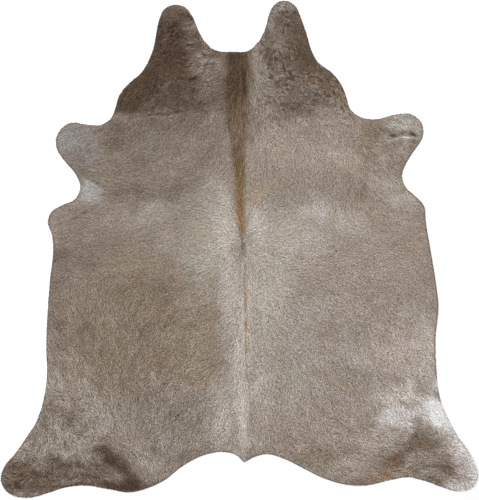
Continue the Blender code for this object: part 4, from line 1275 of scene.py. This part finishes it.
class HideMap:
    """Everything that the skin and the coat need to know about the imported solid."""

    def __init__(self, seed):
        self.ground = Ground(FIELD_STEP, seed)
        self.fine = Ground(STREAK_STEP, seed)
        self.measure_solid()
        self.index_rim()
        self.lay_hair()
        self.draw_unevenness()
        self.draw_colours()

    def measure_solid(self):
        """Takes the rim, the distance from it and the heights of both sides off the solid."""
        points, triangles = node_triangles()
        self.rim = rim_of(points, triangles)
        gap = rim_distance(self.ground.places(), self.rim)
        self.gap = gap.reshape(self.ground.x.shape)
        self.top, self.under = side_heights(self.ground, self.gap, points, triangles)
        slope_y, slope_x = np.gradient(self.gap, FIELD_STEP)
        self.outward = unit(np.stack([-slope_x, -slope_y], axis=-1))

    def index_rim(self):
        """Makes the rim quick to search, and notes how far along it each point lies."""
        fine_rim = divided_ring(self.rim, RIM_PARTS)
        self.rim_tree = KDTree(len(fine_rim))
        for number, (x, y) in enumerate(fine_rim):
            self.rim_tree.insert((x, y, 0.0), number)
        self.rim_tree.balance()
        steps = np.linalg.norm(np.roll(fine_rim, -1, axis=0) - fine_rim, axis=1)
        self.rim_run = np.concatenate([[0.0], np.cumsum(steps)[:-1]])

    def lay_hair(self):
        """Works out the lie of the hair, and how uneven it is from place to place."""
        self.comb = comb_field(self.ground)
        self.texture = texture_fields(self.ground)
        self.curl = np.radians(self.texture["curl"]) * self.ground.mottle(CURLS)
        lie = self.ground.read(turned(self.comb, self.curl), self.fine.places())
        self.lie = unit(lie).reshape(*self.fine.x.shape, 2)

    def draw_unevenness(self):
        """Draws the random streaks, blots, wrinkles and broken lines of the coat."""
        self.tufts = streaks(self.fine, self.lie, TUFTS)
        self.strands = streaks(self.fine, self.lie, STRANDS)
        self.sweeps = streaks(self.fine, self.lie, SWEEPS)
        self.clouds = streaks(self.fine, self.lie, CLOUDS)
        self.pockets = streaks(self.fine, self.lie, POCKETS)
        self.strays = streaks(self.fine, turned(self.lie, self.fine.mottle(STRAY_TURNS)), STRAYS)
        self.crumples = crumples(self.fine)
        self.swell = self.fine.mottle(SWELLS)
        self.wobble = self.ground.mottle(WOBBLES)
        wobble = self.ground.read(self.wobble, self.fine.places())
        self.dip, self.shade = line_fields(self.fine, wobble.reshape(self.fine.x.shape))

    def draw_colours(self):
        """Draws the markings, whose borders wander and whose colours drift a little."""
        places = self.fine.places()
        wander = np.column_stack([self.fine.mottle(BORDERS_X).ravel(),
                                  self.fine.mottle(BORDERS_Y).ravel()])
        drift = self.fine.mottle(FINE_DRIFT) + self.fine.mottle(BROAD_DRIFT)
        colour = coat_colour(places, wander) * (1.0 + drift.reshape(-1, 1) * TINT_DRIFT)
        self.colour = colour.reshape(*self.fine.x.shape, 3)
        self.stripe = stripe_weight(places).reshape(self.fine.x.shape)

    def heading(self, places):
        """Unit vectors of the hair at places; at the rim they lean outward."""
        lie = turned(self.ground.read(self.comb, places), self.ground.read(self.curl, places))
        lean = fade(1.0 - self.ground.read(self.gap, places) / RIM_LEAN_REACH)
        lie = lie + RIM_LEAN * lean[:, None] * self.ground.read(self.outward, places)
        return unit(lie)

    def along_rim(self, places):
        """How far along the rim the nearest point of the rim lies, in millimetres."""
        return np.array([self.rim_run[self.rim_tree.find((x, y, 0.0))[1]] for x, y in places])

    def leather_top(self, places, coat_depth):
        """Height of the hair side of the leather."""
        gap = self.ground.read(self.gap, places)
        top = self.ground.read(self.top, places)
        under = self.ground.read(self.under, places)
        sunk = top - coat_depth * fade(gap / COAT_THINNING) - LEATHER_PLAY
        return np.maximum(sunk - self.fine.read(self.dip, places), under + THINNEST_LEATHER)


_maps = {}


def hide_map():
    """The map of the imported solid, made once."""
    if not _maps:
        _maps["hide"] = HideMap(bpy.context.scene.cowhide_coat.seed)
    return _maps["hide"]


def add_node(tree, kind, inputs=None, **settings):
    """Adds a node with its settings; an input is a value or the output that it is linked from."""
    node = tree.nodes.new(kind)
    for name, value in settings.items():
        setattr(node, name, value)
    for name, value in (inputs or {}).items():
        if isinstance(value, bpy.types.NodeSocket):
            tree.links.new(value, node.inputs[name])
        else:
            node.inputs[name].default_value = value
    return node


def new_material(name, colour, surface):
    """Material with its principled shader, linked to the output; surface holds inputs by name."""
    material = bpy.data.materials.new(name)
    material.use_nodes = True
    material.diffuse_color = colour
    tree = material.node_tree
    tree.nodes.clear()
    shader = add_node(tree, "ShaderNodeBsdfPrincipled", surface)
    add_node(tree, "ShaderNodeOutputMaterial", {"Surface": shader.outputs["BSDF"]})
    return material, tree, shader


def cattle_hair():
    """Keratin: short cattle hair, combed flat. It gives a dull, broken gloss, and each lock is
    darker at its root, where its neighbours shade it."""
    name = "cattle_hair_keratin"
    if name in bpy.data.materials:
        return bpy.data.materials[name]
    material, tree, shader = new_material(
        name, tuple(bpy.context.scene.cowhide_coat.ground),
        {"IOR": 1.55, "Specular IOR Level": 0.25, "Roughness": 0.6})
    colour = add_node(tree, "ShaderNodeAttribute", attribute_name="hair_colour")
    along = add_node(tree, "ShaderNodeAttribute", attribute_name="lock_along")
    shade = add_node(
        tree, "ShaderNodeMapRange",
        {"Value": along.outputs["Fac"], "From Min": 0.0, "From Max": 1.0,
         "To Min": 0.86, "To Max": 1.08})
    shaded = add_node(
        tree, "ShaderNodeVectorMath",
        {0: colour.outputs["Vector"], "Scale": shade.outputs["Result"]}, operation="SCALE")
    tree.links.new(shaded.outputs[0], shader.inputs["Base Color"])
    return material


def hair_side_leather():
    """Grain side of the leather under the hair: dull, and darker than the coat above it."""
    material, tree, shader = new_material(
        "hair_side_leather", tuple(bpy.context.scene.cowhide_coat.ground),
        {"IOR": 1.5, "Roughness": 0.8})
    colour = add_node(tree, "ShaderNodeAttribute", attribute_name="hair_colour")
    tree.links.new(colour.outputs["Vector"], shader.inputs["Base Color"])
    return material


def flesh_side_suede():
    """Chrome-tanned leather, flesh side buffed: matt and mottled, with a short nap."""
    skin = bpy.context.scene.cowhide_skin
    material, tree, shader = new_material(
        "flesh_side_suede", tuple(skin.suede),
        {"IOR": 1.5, "Roughness": 0.92, "Sheen Weight": 0.25})
    place = add_node(tree, "ShaderNodeNewGeometry").outputs["Position"]
    # Buffing leaves clouds about 60 mm across.
    clouds = add_node(
        tree, "ShaderNodeTexNoise", {"Vector": place, "Scale": 1.0 / 0.060, "Detail": 4.0})
    # A nap fibre is 0.3 mm wide; it is drawn 2 mm wide so that it shows.
    nap = add_node(
        tree, "ShaderNodeTexNoise", {"Vector": place, "Scale": 1.0 / 0.002, "Detail": 2.0})
    blend = add_node(
        tree, "ShaderNodeMath", {0: clouds.outputs["Fac"], 1: nap.outputs["Fac"]},
        operation="ADD")
    level = add_node(
        tree, "ShaderNodeMapRange",
        {"Value": blend.outputs[0], "From Min": 0.6, "From Max": 1.4,
         "To Min": 0.78, "To Max": 1.15})
    colour = add_node(
        tree, "ShaderNodeVectorMath", {0: tuple(skin.suede)[:3], "Scale": level.outputs["Result"]},
        operation="SCALE")
    bump = add_node(
        tree, "ShaderNodeBump",
        {"Height": nap.outputs["Fac"], "Strength": 0.4, "Distance": 0.0006})
    tree.links.new(colour.outputs[0], shader.inputs["Base Color"])
    tree.links.new(bump.outputs["Normal"], shader.inputs["Normal"])
    return material


def cut_leather():
    """Knife-cut edge of the leather: fibrous, in bundles of lighter and darker tone."""
    skin = bpy.context.scene.cowhide_skin
    material, tree, shader = new_material(
        "cut_leather_edge", tuple(skin.cut_edge), {"IOR": 1.5, "Roughness": 0.85})
    place = add_node(tree, "ShaderNodeNewGeometry").outputs["Position"]
    # Fibre bundles about 3 mm apart
    fibres = add_node(
        tree, "ShaderNodeTexNoise", {"Vector": place, "Scale": 1.0 / 0.003, "Detail": 3.0})
    level = add_node(
        tree, "ShaderNodeMapRange",
        {"Value": fibres.outputs["Fac"], "From Min": 0.3, "From Max": 0.7,
         "To Min": 0.6, "To Max": 1.1})
    colour = add_node(
        tree, "ShaderNodeVectorMath",
        {0: tuple(skin.cut_edge)[:3], "Scale": level.outputs["Result"]}, operation="SCALE")
    tree.links.new(colour.outputs[0], shader.inputs["Base Color"])
    return material


def painted_floor():
    """Plywood studio floor, rolled with matt white emulsion."""
    studio = bpy.context.scene.cowhide_studio
    material, _, _ = new_material(
        "matt_white_emulsion", tuple(studio.floor),
        {"Base Color": tuple(studio.floor), "Roughness": 0.9, "Specular IOR Level": 0.1})
    return material


def mesh_from_arrays(name, points, faces):
    """Mesh of triangles from arrays of places, in metres, and corner numbers."""
    mesh = bpy.data.meshes.new(name)
    mesh.vertices.add(len(points))
    mesh.vertices.foreach_set("co", np.ascontiguousarray(points, dtype=np.float32).ravel())
    mesh.loops.add(faces.size)
    mesh.loops.foreach_set("vertex_index", np.ascontiguousarray(faces, dtype=np.int32).ravel())
    mesh.polygons.add(len(faces))
    starts = np.arange(0, faces.size, faces.shape[1], dtype=np.int32)
    mesh.polygons.foreach_set("loop_start", starts)
    mesh.update(calc_edges=True)
    return mesh


def add_values(mesh, name, values):
    """Stores one number or vector for each point of a mesh."""
    kind, slot = ("FLOAT_VECTOR", "vector") if values.ndim == 2 else ("FLOAT", "value")
    layer = mesh.attributes.new(name, kind, "POINT")
    layer.data.foreach_set(slot, np.ascontiguousarray(values, dtype=np.float32).ravel())


def add_flat_uv(mesh, points, faces):
    """UV map that looks straight down on the mesh."""
    low = points[:, :2].min(axis=0)
    side = (points[:, :2].max(axis=0) - low).max()
    flat = (points[:, :2] - low) / side * (1.0 - 2.0 * UV_MARGIN) + UV_MARGIN
    layer = mesh.uv_layers.new(name=BAKE_UV)
    layer.data.foreach_set("uv", flat[faces.ravel()].astype(np.float32).ravel())


def place_piece(name, mesh, materials):
    """Object of the rug that rides on the hide's body."""
    piece = bpy.data.objects.new(name, mesh)
    bpy.context.scene.collection.objects.link(piece)
    for material in materials:
        mesh.materials.append(material)
    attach(piece, BODY)
    return piece


def inset_ring(ring, width):
    """An anticlockwise ring moved inward."""
    ahead = unit(np.roll(ring, -1, axis=0) - ring)
    along = unit(ahead + np.roll(ahead, 1, axis=0))
    inward = np.column_stack([-along[:, 1], along[:, 0]])
    return ring + width * inward


def divided_ring(ring, parts):
    """A ring with each of its stretches cut into equal parts, rounded through its points."""
    before, after, next_after = (np.roll(ring, shift, axis=0) for shift in (1, -1, -2))
    pieces = []
    for part in range(parts):
        t = part / parts
        pieces.append(0.5 * (2.0 * ring + (after - before) * t
                             + (2.0 * before - 5.0 * ring + 4.0 * after - next_after) * t ** 2
                             + (3.0 * ring - before - 3.0 * after + next_after) * t ** 3))
    return np.stack(pieces, axis=1).reshape(-1, 2)


def hexagonal_places(low, high, step):
    """Triangular grid of places between two corners."""
    row_step = step * math.sqrt(3.0) / 2.0
    rows = int((high[1] - low[1]) / row_step) + 2
    columns = int((high[0] - low[0]) / step) + 2
    column, row = np.meshgrid(np.arange(columns), np.arange(rows))
    x = low[0] + (column + 0.5 * (row % 2)) * step
    y = low[1] + row * row_step
    return np.column_stack([x.ravel(), y.ravel()])


def sheet_side(rings, loose):
    """Places and triangles of one side of the leather, its first ring being the cut edge."""
    places = np.vstack([*rings, loose])
    edges = []
    first = 0
    for ring in rings:
        count = len(ring)
        edges.extend((first + index, first + (index + 1) % count) for index in range(count))
        first += count
    flat = [Vector((x, y)) for x, y in places]
    made = delaunay_2d_cdt(flat, edges, [list(range(len(rings[0])))], 1, MERGE_REACH)
    if len(made[0]) != len(places):
        raise RuntimeError("the rings of the leather cross each other")
    order = np.array([sources[0] for sources in made[3]])
    triangles = order[np.array(made[2], dtype=np.int64)]
    first_corner, second, third = (places[triangles[:, index]] for index in range(3))
    turn = (second[:, 0] - first_corner[:, 0]) * (third[:, 1] - first_corner[:, 1])
    turn -= (second[:, 1] - first_corner[:, 1]) * (third[:, 0] - first_corner[:, 0])
    triangles[turn < 0.0] = triangles[turn < 0.0][:, ::-1]
    return places, triangles


class COWHIDE_OT_skin(bpy.types.Operator):
    """Make the leather: one closed sheet with its creases, cut edge and flesh side"""

    bl_idname = "cowhide.skin"
    bl_label = "Leather"

    def execute(self, context):
        settings = context.scene.cowhide_skin
        hide = hide_map()
        edge = inset_ring(divided_ring(hide.rim, EDGE_PARTS), settings.rim_inset / MM)
        ripple = EDGE_RIPPLE * hide.ground.read(hide.wobble, edge)
        edge = edge + ripple[:, None] * hide.ground.read(hide.outward, edge)
        rings = [edge, inset_ring(edge, SHOULDER_WIDTH)]
        low, high = edge.min(axis=0), edge.max(axis=0)
        sides = []
        for step, clearance in ((settings.top_step, TOP_CLEARANCE),
                                (settings.under_step, UNDER_CLEARANCE)):
            grid = hexagonal_places(low, high, step / MM)
            gap = hide.ground.read(hide.gap, grid)
            grid = grid[gap > settings.rim_inset / MM + SHOULDER_WIDTH + clearance]
            sides.append(sheet_side(rings, grid))

        (top_places, top_faces), (low_places, low_faces) = sides
        count = len(edge)
        top_heights = hide.leather_top(top_places, settings.coat_depth / MM)
        low_heights = hide.ground.read(hide.under, low_places)
        cut_heights = 0.5 * (hide.leather_top(edge, settings.coat_depth / MM)
                             + hide.ground.read(hide.under, edge))
        top_heights[:count] = cut_heights
        top_points = np.column_stack([top_places, top_heights])
        low_points = np.column_stack([low_places, low_heights])[count:]
        points = np.vstack([top_points, low_points]) * MM
        shift = len(top_points) - count
        low_faces = np.where(low_faces < count, low_faces, low_faces + shift)[:, ::-1]
        faces = np.vstack([top_faces, low_faces])

        mesh = mesh_from_arrays(HIDE_NODE, points, faces)
        touches_edge = (faces < count).any(axis=1)
        on_top = np.arange(len(faces)) < len(top_faces)
        inner = np.where(on_top, HAIR_SIDE, FLESH_SIDE)
        slots = np.where(touches_edge, CUT_EDGE, inner).astype(np.int32)
        mesh.polygons.foreach_set("material_index", slots)
        mesh.polygons.foreach_set("use_smooth", np.ones(len(faces), dtype=bool))
        colours = hide.fine.read(hide.colour, points[:, :2] / MM)
        add_values(mesh, "hair_colour", SKIN_SHARE * colours)
        leather = place_piece("leather", mesh, [hair_side_leather(), cut_leather(),
                                                flesh_side_suede()])
        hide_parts(HIDE_NODE)
        return {"FINISHED"}


def lock_roots(settings, hide, rng):
    """Scattered roots of the hair locks, in millimetres."""
    step = settings.spacing / MM
    grid = hexagonal_places(hide.rim.min(axis=0), hide.rim.max(axis=0), step)
    grid = grid + rng.uniform(-0.5, 0.5, grid.shape) * step
    return grid[hide.ground.read(hide.gap, grid) > ROOT_INSET]


def rim_hair(hide, places):
    """How far the hair may stand out past the rim near places; fringes stand in teeth."""
    length = np.full(len(places), PLAIN_RIM_HAIR)
    near = hide.ground.read(hide.gap, places) < RIM_HAIR_BAND
    run = np.zeros(len(places))
    run[near] = hide.along_rim(places[near])
    for fringe in FRINGES:
        gap = np.hypot(places[:, 0] - fringe.x, places[:, 1] - fringe.y)
        wave = 0.5 + 0.5 * np.cos(2.0 * math.pi * run / fringe.pitch)
        teeth = FRINGE_VALLEY + (1.0 - FRINGE_VALLEY) * wave ** TEETH_SHARPNESS
        reach = fringe.length * fade(FRINGE_FADE - gap / fringe.reach)
        length = np.maximum(length, reach * teeth)
    return length


def peaks(field, peak):
    """Where a random field stands high, from 0 to 1, less its mean over the coat."""
    return fade((field - peak.start) / peak.reach) - peak.mean


def place_levels(hide, places):
    """Brightness of the coat at places, as the logarithm of a share of its colour."""
    texture = {name: hide.ground.read(field, places) for name, field in hide.texture.items()}
    strands = hide.fine.read(hide.strands, places)
    stripe = hide.fine.read(hide.stripe, places)
    level = texture["tuft"] * hide.fine.read(hide.tufts, places)
    level += (texture["strand"] + STRIPE_STRANDS * stripe) * strands
    level += texture["sweep"] * hide.fine.read(hide.sweeps, places)
    level += CLOUD_SHARE * texture["sweep"] * hide.fine.read(hide.clouds, places)
    level -= texture["pocket"] * peaks(hide.fine.read(hide.pockets, places), POCKET_PEAKS)
    level += texture["wisp"] * peaks(strands, WISP_PEAKS)
    strays = peaks(hide.fine.read(hide.strays, places), STRAY_PEAKS)
    level += STRAY_SHARE * texture["wisp"] * strays
    # Wrinkles of the hide: painted shade in the furrows, painted light on the brows
    level += texture["crumple"] * hide.fine.read(hide.crumples, places)
    level += SWELL * hide.fine.read(hide.swell, places)
    # Painted shade of the folds, the dark tufts' own tone and the pale wisps
    level -= LINE_STRENGTH * hide.fine.read(hide.shade, places)
    brightness = hide.fine.read(hide.colour, places).mean(axis=1)
    pale = fade((brightness - PALE_FROM) / PALE_REACH)
    gap = hide.ground.read(hide.gap, places)
    # Painted shade along the cut rim, together with the darker roots of the hair there
    level -= RIM_SHADE * (1.0 - pale) * fade(1.0 - gap / RIM_SHADE_REACH)
    return level


def grain_of(roots, rng):
    """Random tone of each lock. Neighbours differ most, so the patches' own means are taken out."""
    grain = rng.standard_normal(len(roots))
    cells = np.floor((roots - roots.min(axis=0)) / GRAIN_PATCH).astype(int)
    patches = cells[:, 0] * (cells[:, 1].max() + 1) + cells[:, 1]
    means = np.bincount(patches, grain) / np.maximum(np.bincount(patches), 1)
    grain = grain - GRAIN_EVENNESS * means[patches]
    return np.clip(grain - GRAIN_SKEW * (grain ** 2 - 1.0), *GRAIN_LIMITS)


def lock_colours(hide, corners, guard, rng):
    """Colours of the locks' corners: the coat's there, in a tone of each lock's own."""
    roots = corners[:, 0, :2]
    own = hide.ground.read(hide.texture["speckle"], roots) * grain_of(roots, rng)
    own += np.where(guard, GUARD_LEVEL, DOWN_LEVEL)
    middles = 0.5 * (corners[:, 1, :2] + corners[:, 3, :2])
    colours = []
    for places in (roots, middles, corners[:, 2, :2]):
        level = np.exp(np.clip(own + place_levels(hide, places), *LEVEL_LIMITS))
        tinted = level[:, None] ** np.array(TINT_SLOPES)
        seen = hide.fine.read(hide.colour, places) * tinted
        colour = COAT_LEVEL * np.maximum(seen - GLOSS, DARKEST)
        colours.append(np.clip(colour, 0.0, PALEST))
    return np.stack([colours[0], colours[1], colours[2], colours[1]], axis=1)


def lock_shapes(settings, coat_depth, hide, roots, guard, rng):
    """Corners of the locks, each a narrow kite folded along its ridge."""
    count = len(roots)
    length = settings.length / MM * rng.uniform(*LENGTH_SPREAD, count)
    length *= np.where(guard, GUARD_LENGTH, 1.0)
    length *= hide.ground.read(hide.texture["length"], roots)
    width = settings.width / MM * rng.uniform(*WIDTH_SPREAD, count)
    width *= np.where(guard, GUARD_WIDTH, 1.0)
    scatter = np.radians(COMB_SCATTER) * rng.standard_normal(count)
    heading = turned(hide.heading(roots), scatter)

    # Locks by the rim end where the rim, or the fringe there, ends.
    root_gap = hide.ground.read(hide.gap, roots)
    tip_gap = hide.ground.read(hide.gap, roots + heading * length[:, None])
    allowed = rim_hair(hide, roots) * rng.uniform(*RIM_HAIR_SPREAD, count)
    share = (root_gap + allowed) / np.maximum(root_gap - tip_gap, TINY)
    shortened = np.clip(share * length, SHORTEST_LOCK, length)
    length = np.where(-tip_gap > allowed, shortened, length)
    tips = roots + heading * length[:, None]

    tip_gap = hide.ground.read(hide.gap, tips)
    root_height = hide.leather_top(roots, coat_depth)
    tip_height = hide.leather_top(tips, coat_depth)
    tip_height += coat_depth * fade((tip_gap + TIP_THINNING) / COAT_THINNING)
    tip_height += TIP_LIFT + TUFT_LIFT * hide.fine.read(hide.tufts, roots)
    tip_height += TIP_SCATTER * rng.standard_normal(count)
    tip_height = np.maximum(tip_height, root_height + LEAST_TIP_RISE)
    tip_height = np.maximum(tip_height - TIP_DROOP * np.maximum(-tip_gap, 0.0), LOWEST_TIP)

    side = np.column_stack([-heading[:, 1], heading[:, 0]]) * width[:, None] / 2.0
    belly = roots + heading * (BELLY_PLACE * length)[:, None]
    belly_height = 0.5 * (root_height + tip_height) - FOLD_DEPTH * width
    lowest = np.minimum(root_height, tip_height) * 0.5 + LOWEST_BELLY
    belly_height = np.maximum(belly_height, lowest)
    outline = ((roots, root_height), (belly - side, belly_height),
               (tips, tip_height), (belly + side, belly_height))
    return np.stack([np.column_stack(corner) for corner in outline], axis=1)


class COWHIDE_OT_coat(bpy.types.Operator):
    """Lay the coat: hair locks in pieces from the neck to the hind shanks"""

    bl_idname = "cowhide.coat"
    bl_label = "Coat"

    def execute(self, context):
        settings = context.scene.cowhide_coat
        coat_depth = context.scene.cowhide_skin.coat_depth / MM
        hide = hide_map()
        rng = np.random.default_rng(settings.seed)
        roots = lock_roots(settings, hide, rng)
        guard = rng.random(len(roots)) < GUARD_SHARE
        corners = lock_shapes(settings, coat_depth, hide, roots, guard, rng)
        colours = lock_colours(hide, corners, guard, rng)
        along = np.array((0.0, BELLY_PLACE, 1.0, BELLY_PLACE))
        laid = 0
        for name, low, high in COAT_PIECES:
            chosen = (roots[:, 1] >= low) & (roots[:, 1] < high)
            count = int(chosen.sum())
            if count == 0:
                raise RuntimeError(f"{name} has no hair")
            laid += count
            points = corners[chosen].reshape(-1, 3) * MM
            first = 4 * np.arange(count)[:, None]
            faces = np.concatenate([first + (0, 1, 2), first + (0, 2, 3)], axis=1).reshape(-1, 3)
            mesh = mesh_from_arrays(name, points, faces)
            add_values(mesh, "hair_colour", colours[chosen].reshape(-1, 3))
            add_values(mesh, "lock_along", np.tile(along, count))
            add_flat_uv(mesh, points, faces)
            place_piece(name, mesh, [cattle_hair()])
            print(name, "locks", count, "triangles", len(faces))
        if laid != len(roots):
            raise RuntimeError("some hair locks belong to no piece of the coat")
        return {"FINISHED"}


def lay_floor(scene):
    """Lays the painted floor under the rug."""
    half = scene.cowhide_studio.floor_side / 2.0
    height = CAD_LOW.z - FLOOR_DROP
    corners = np.array(((-half, -half, height), (half, -half, height),
                        (half, half, height), (-half, half, height)))
    mesh = mesh_from_arrays("studio_floor", corners, np.array(((0, 1, 2, 3),)))
    mesh.materials.append(painted_floor())
    floor = bpy.data.objects.new("studio_floor", mesh)
    scene.collection.objects.link(floor)


def hang_lights(scene):
    """Hangs the softbox over the rug and lights the white room."""
    softbox = bpy.data.lights.new("overhead_softbox", "AREA")
    softbox.shape = "SQUARE"
    softbox.size = SOFTBOX_SIZE
    softbox.energy = scene.cowhide_studio.key_power
    lamp = bpy.data.objects.new("overhead_softbox", softbox)
    lamp.location = SOFTBOX_PLACE
    lamp.rotation_euler = lamp.location.to_track_quat("Z", "Y").to_euler()
    scene.collection.objects.link(lamp)

    world = bpy.data.worlds.new("white_room")
    world.use_nodes = True
    back = world.node_tree.nodes["Background"]
    back.inputs["Color"].default_value = (1.0, 1.0, 1.0, 1.0)
    back.inputs["Strength"].default_value = scene.cowhide_studio.fill_level
    scene.world = world
    scene.view_settings.view_transform = "Standard"
    # A denoiser would wipe the single hairs away.
    scene.cycles.use_denoising = False


def set_camera(scene):
    """Sets the camera straight above the rug, as far off as the photograph's frame asks for."""
    camera = bpy.data.cameras.new("face_on_camera")
    camera.lens = scene.cowhide_studio.lens
    camera.sensor_fit = "AUTO"
    camera.sensor_width = SENSOR_WIDTH
    camera.clip_end = FAR_CLIP
    above = PIXEL * PHOTO_HEIGHT_PX * camera.lens / camera.sensor_width
    middle_row = (HIDE_TOP_ROW + HIDE_BOTTOM_ROW) / 2.0
    stand = bpy.data.objects.new("face_on_camera", camera)
    stand.location = (0.0, (middle_row - PHOTO_CENTRE_ROW) * PIXEL, above + CAD_HIGH.z / 2.0)
    scene.collection.objects.link(stand)
    scene.camera = stand


class COWHIDE_OT_studio(bpy.types.Operator):
    """Set up the floor, the soft light and the camera straight above the rug"""

    bl_idname = "cowhide.studio"
    bl_label = "Studio"

    def execute(self, context):
        lay_floor(context.scene)
        hang_lights(context.scene)
        set_camera(context.scene)
        return {"FINISHED"}


class COWHIDE_PT_rug(bpy.types.Panel):
    """Lists the rug's sizes, colours and operators"""

    bl_label = "Cowhide rug"
    bl_idname = "COWHIDE_PT_rug"
    bl_space_type = "VIEW_3D"
    bl_region_type = "UI"
    bl_category = "Cowhide"

    def draw(self, context):
        layout = self.layout
        for settings, operators in (
                (context.scene.cowhide_skin, (COWHIDE_OT_skin,)),
                (context.scene.cowhide_coat, (COWHIDE_OT_coat,)),
                (context.scene.cowhide_studio, (COWHIDE_OT_studio,))):
            box = layout.box()
            for name in settings.bl_rna.properties.keys():
                if name not in {"rna_type", "name"}:
                    box.prop(settings, name)
            for operator in operators:
                box.operator(operator.bl_idname)


CLASSES = (
    SkinSettings,
    CoatSettings,
    StudioSettings,
    COWHIDE_OT_studio,
    COWHIDE_OT_skin,
    COWHIDE_OT_coat,
    COWHIDE_PT_rug,
)


def register():
    """Adds the rug's settings, operators and panel to Blender."""
    for item in CLASSES:
        bpy.utils.register_class(item)
    bpy.types.Scene.cowhide_skin = PointerProperty(type=SkinSettings)
    bpy.types.Scene.cowhide_coat = PointerProperty(type=CoatSettings)
    bpy.types.Scene.cowhide_studio = PointerProperty(type=StudioSettings)


def unregister():
    """Takes them out again."""
    del bpy.types.Scene.cowhide_studio
    del bpy.types.Scene.cowhide_coat
    del bpy.types.Scene.cowhide_skin
    for item in reversed(CLASSES):
        bpy.utils.unregister_class(item)


def main():
    """Builds the studio, the leather and the coat."""
    register()
    bpy.ops.cowhide.studio()
    bpy.ops.cowhide.skin()
    bpy.ops.cowhide.coat()


if __name__ == "__main__":
    main()
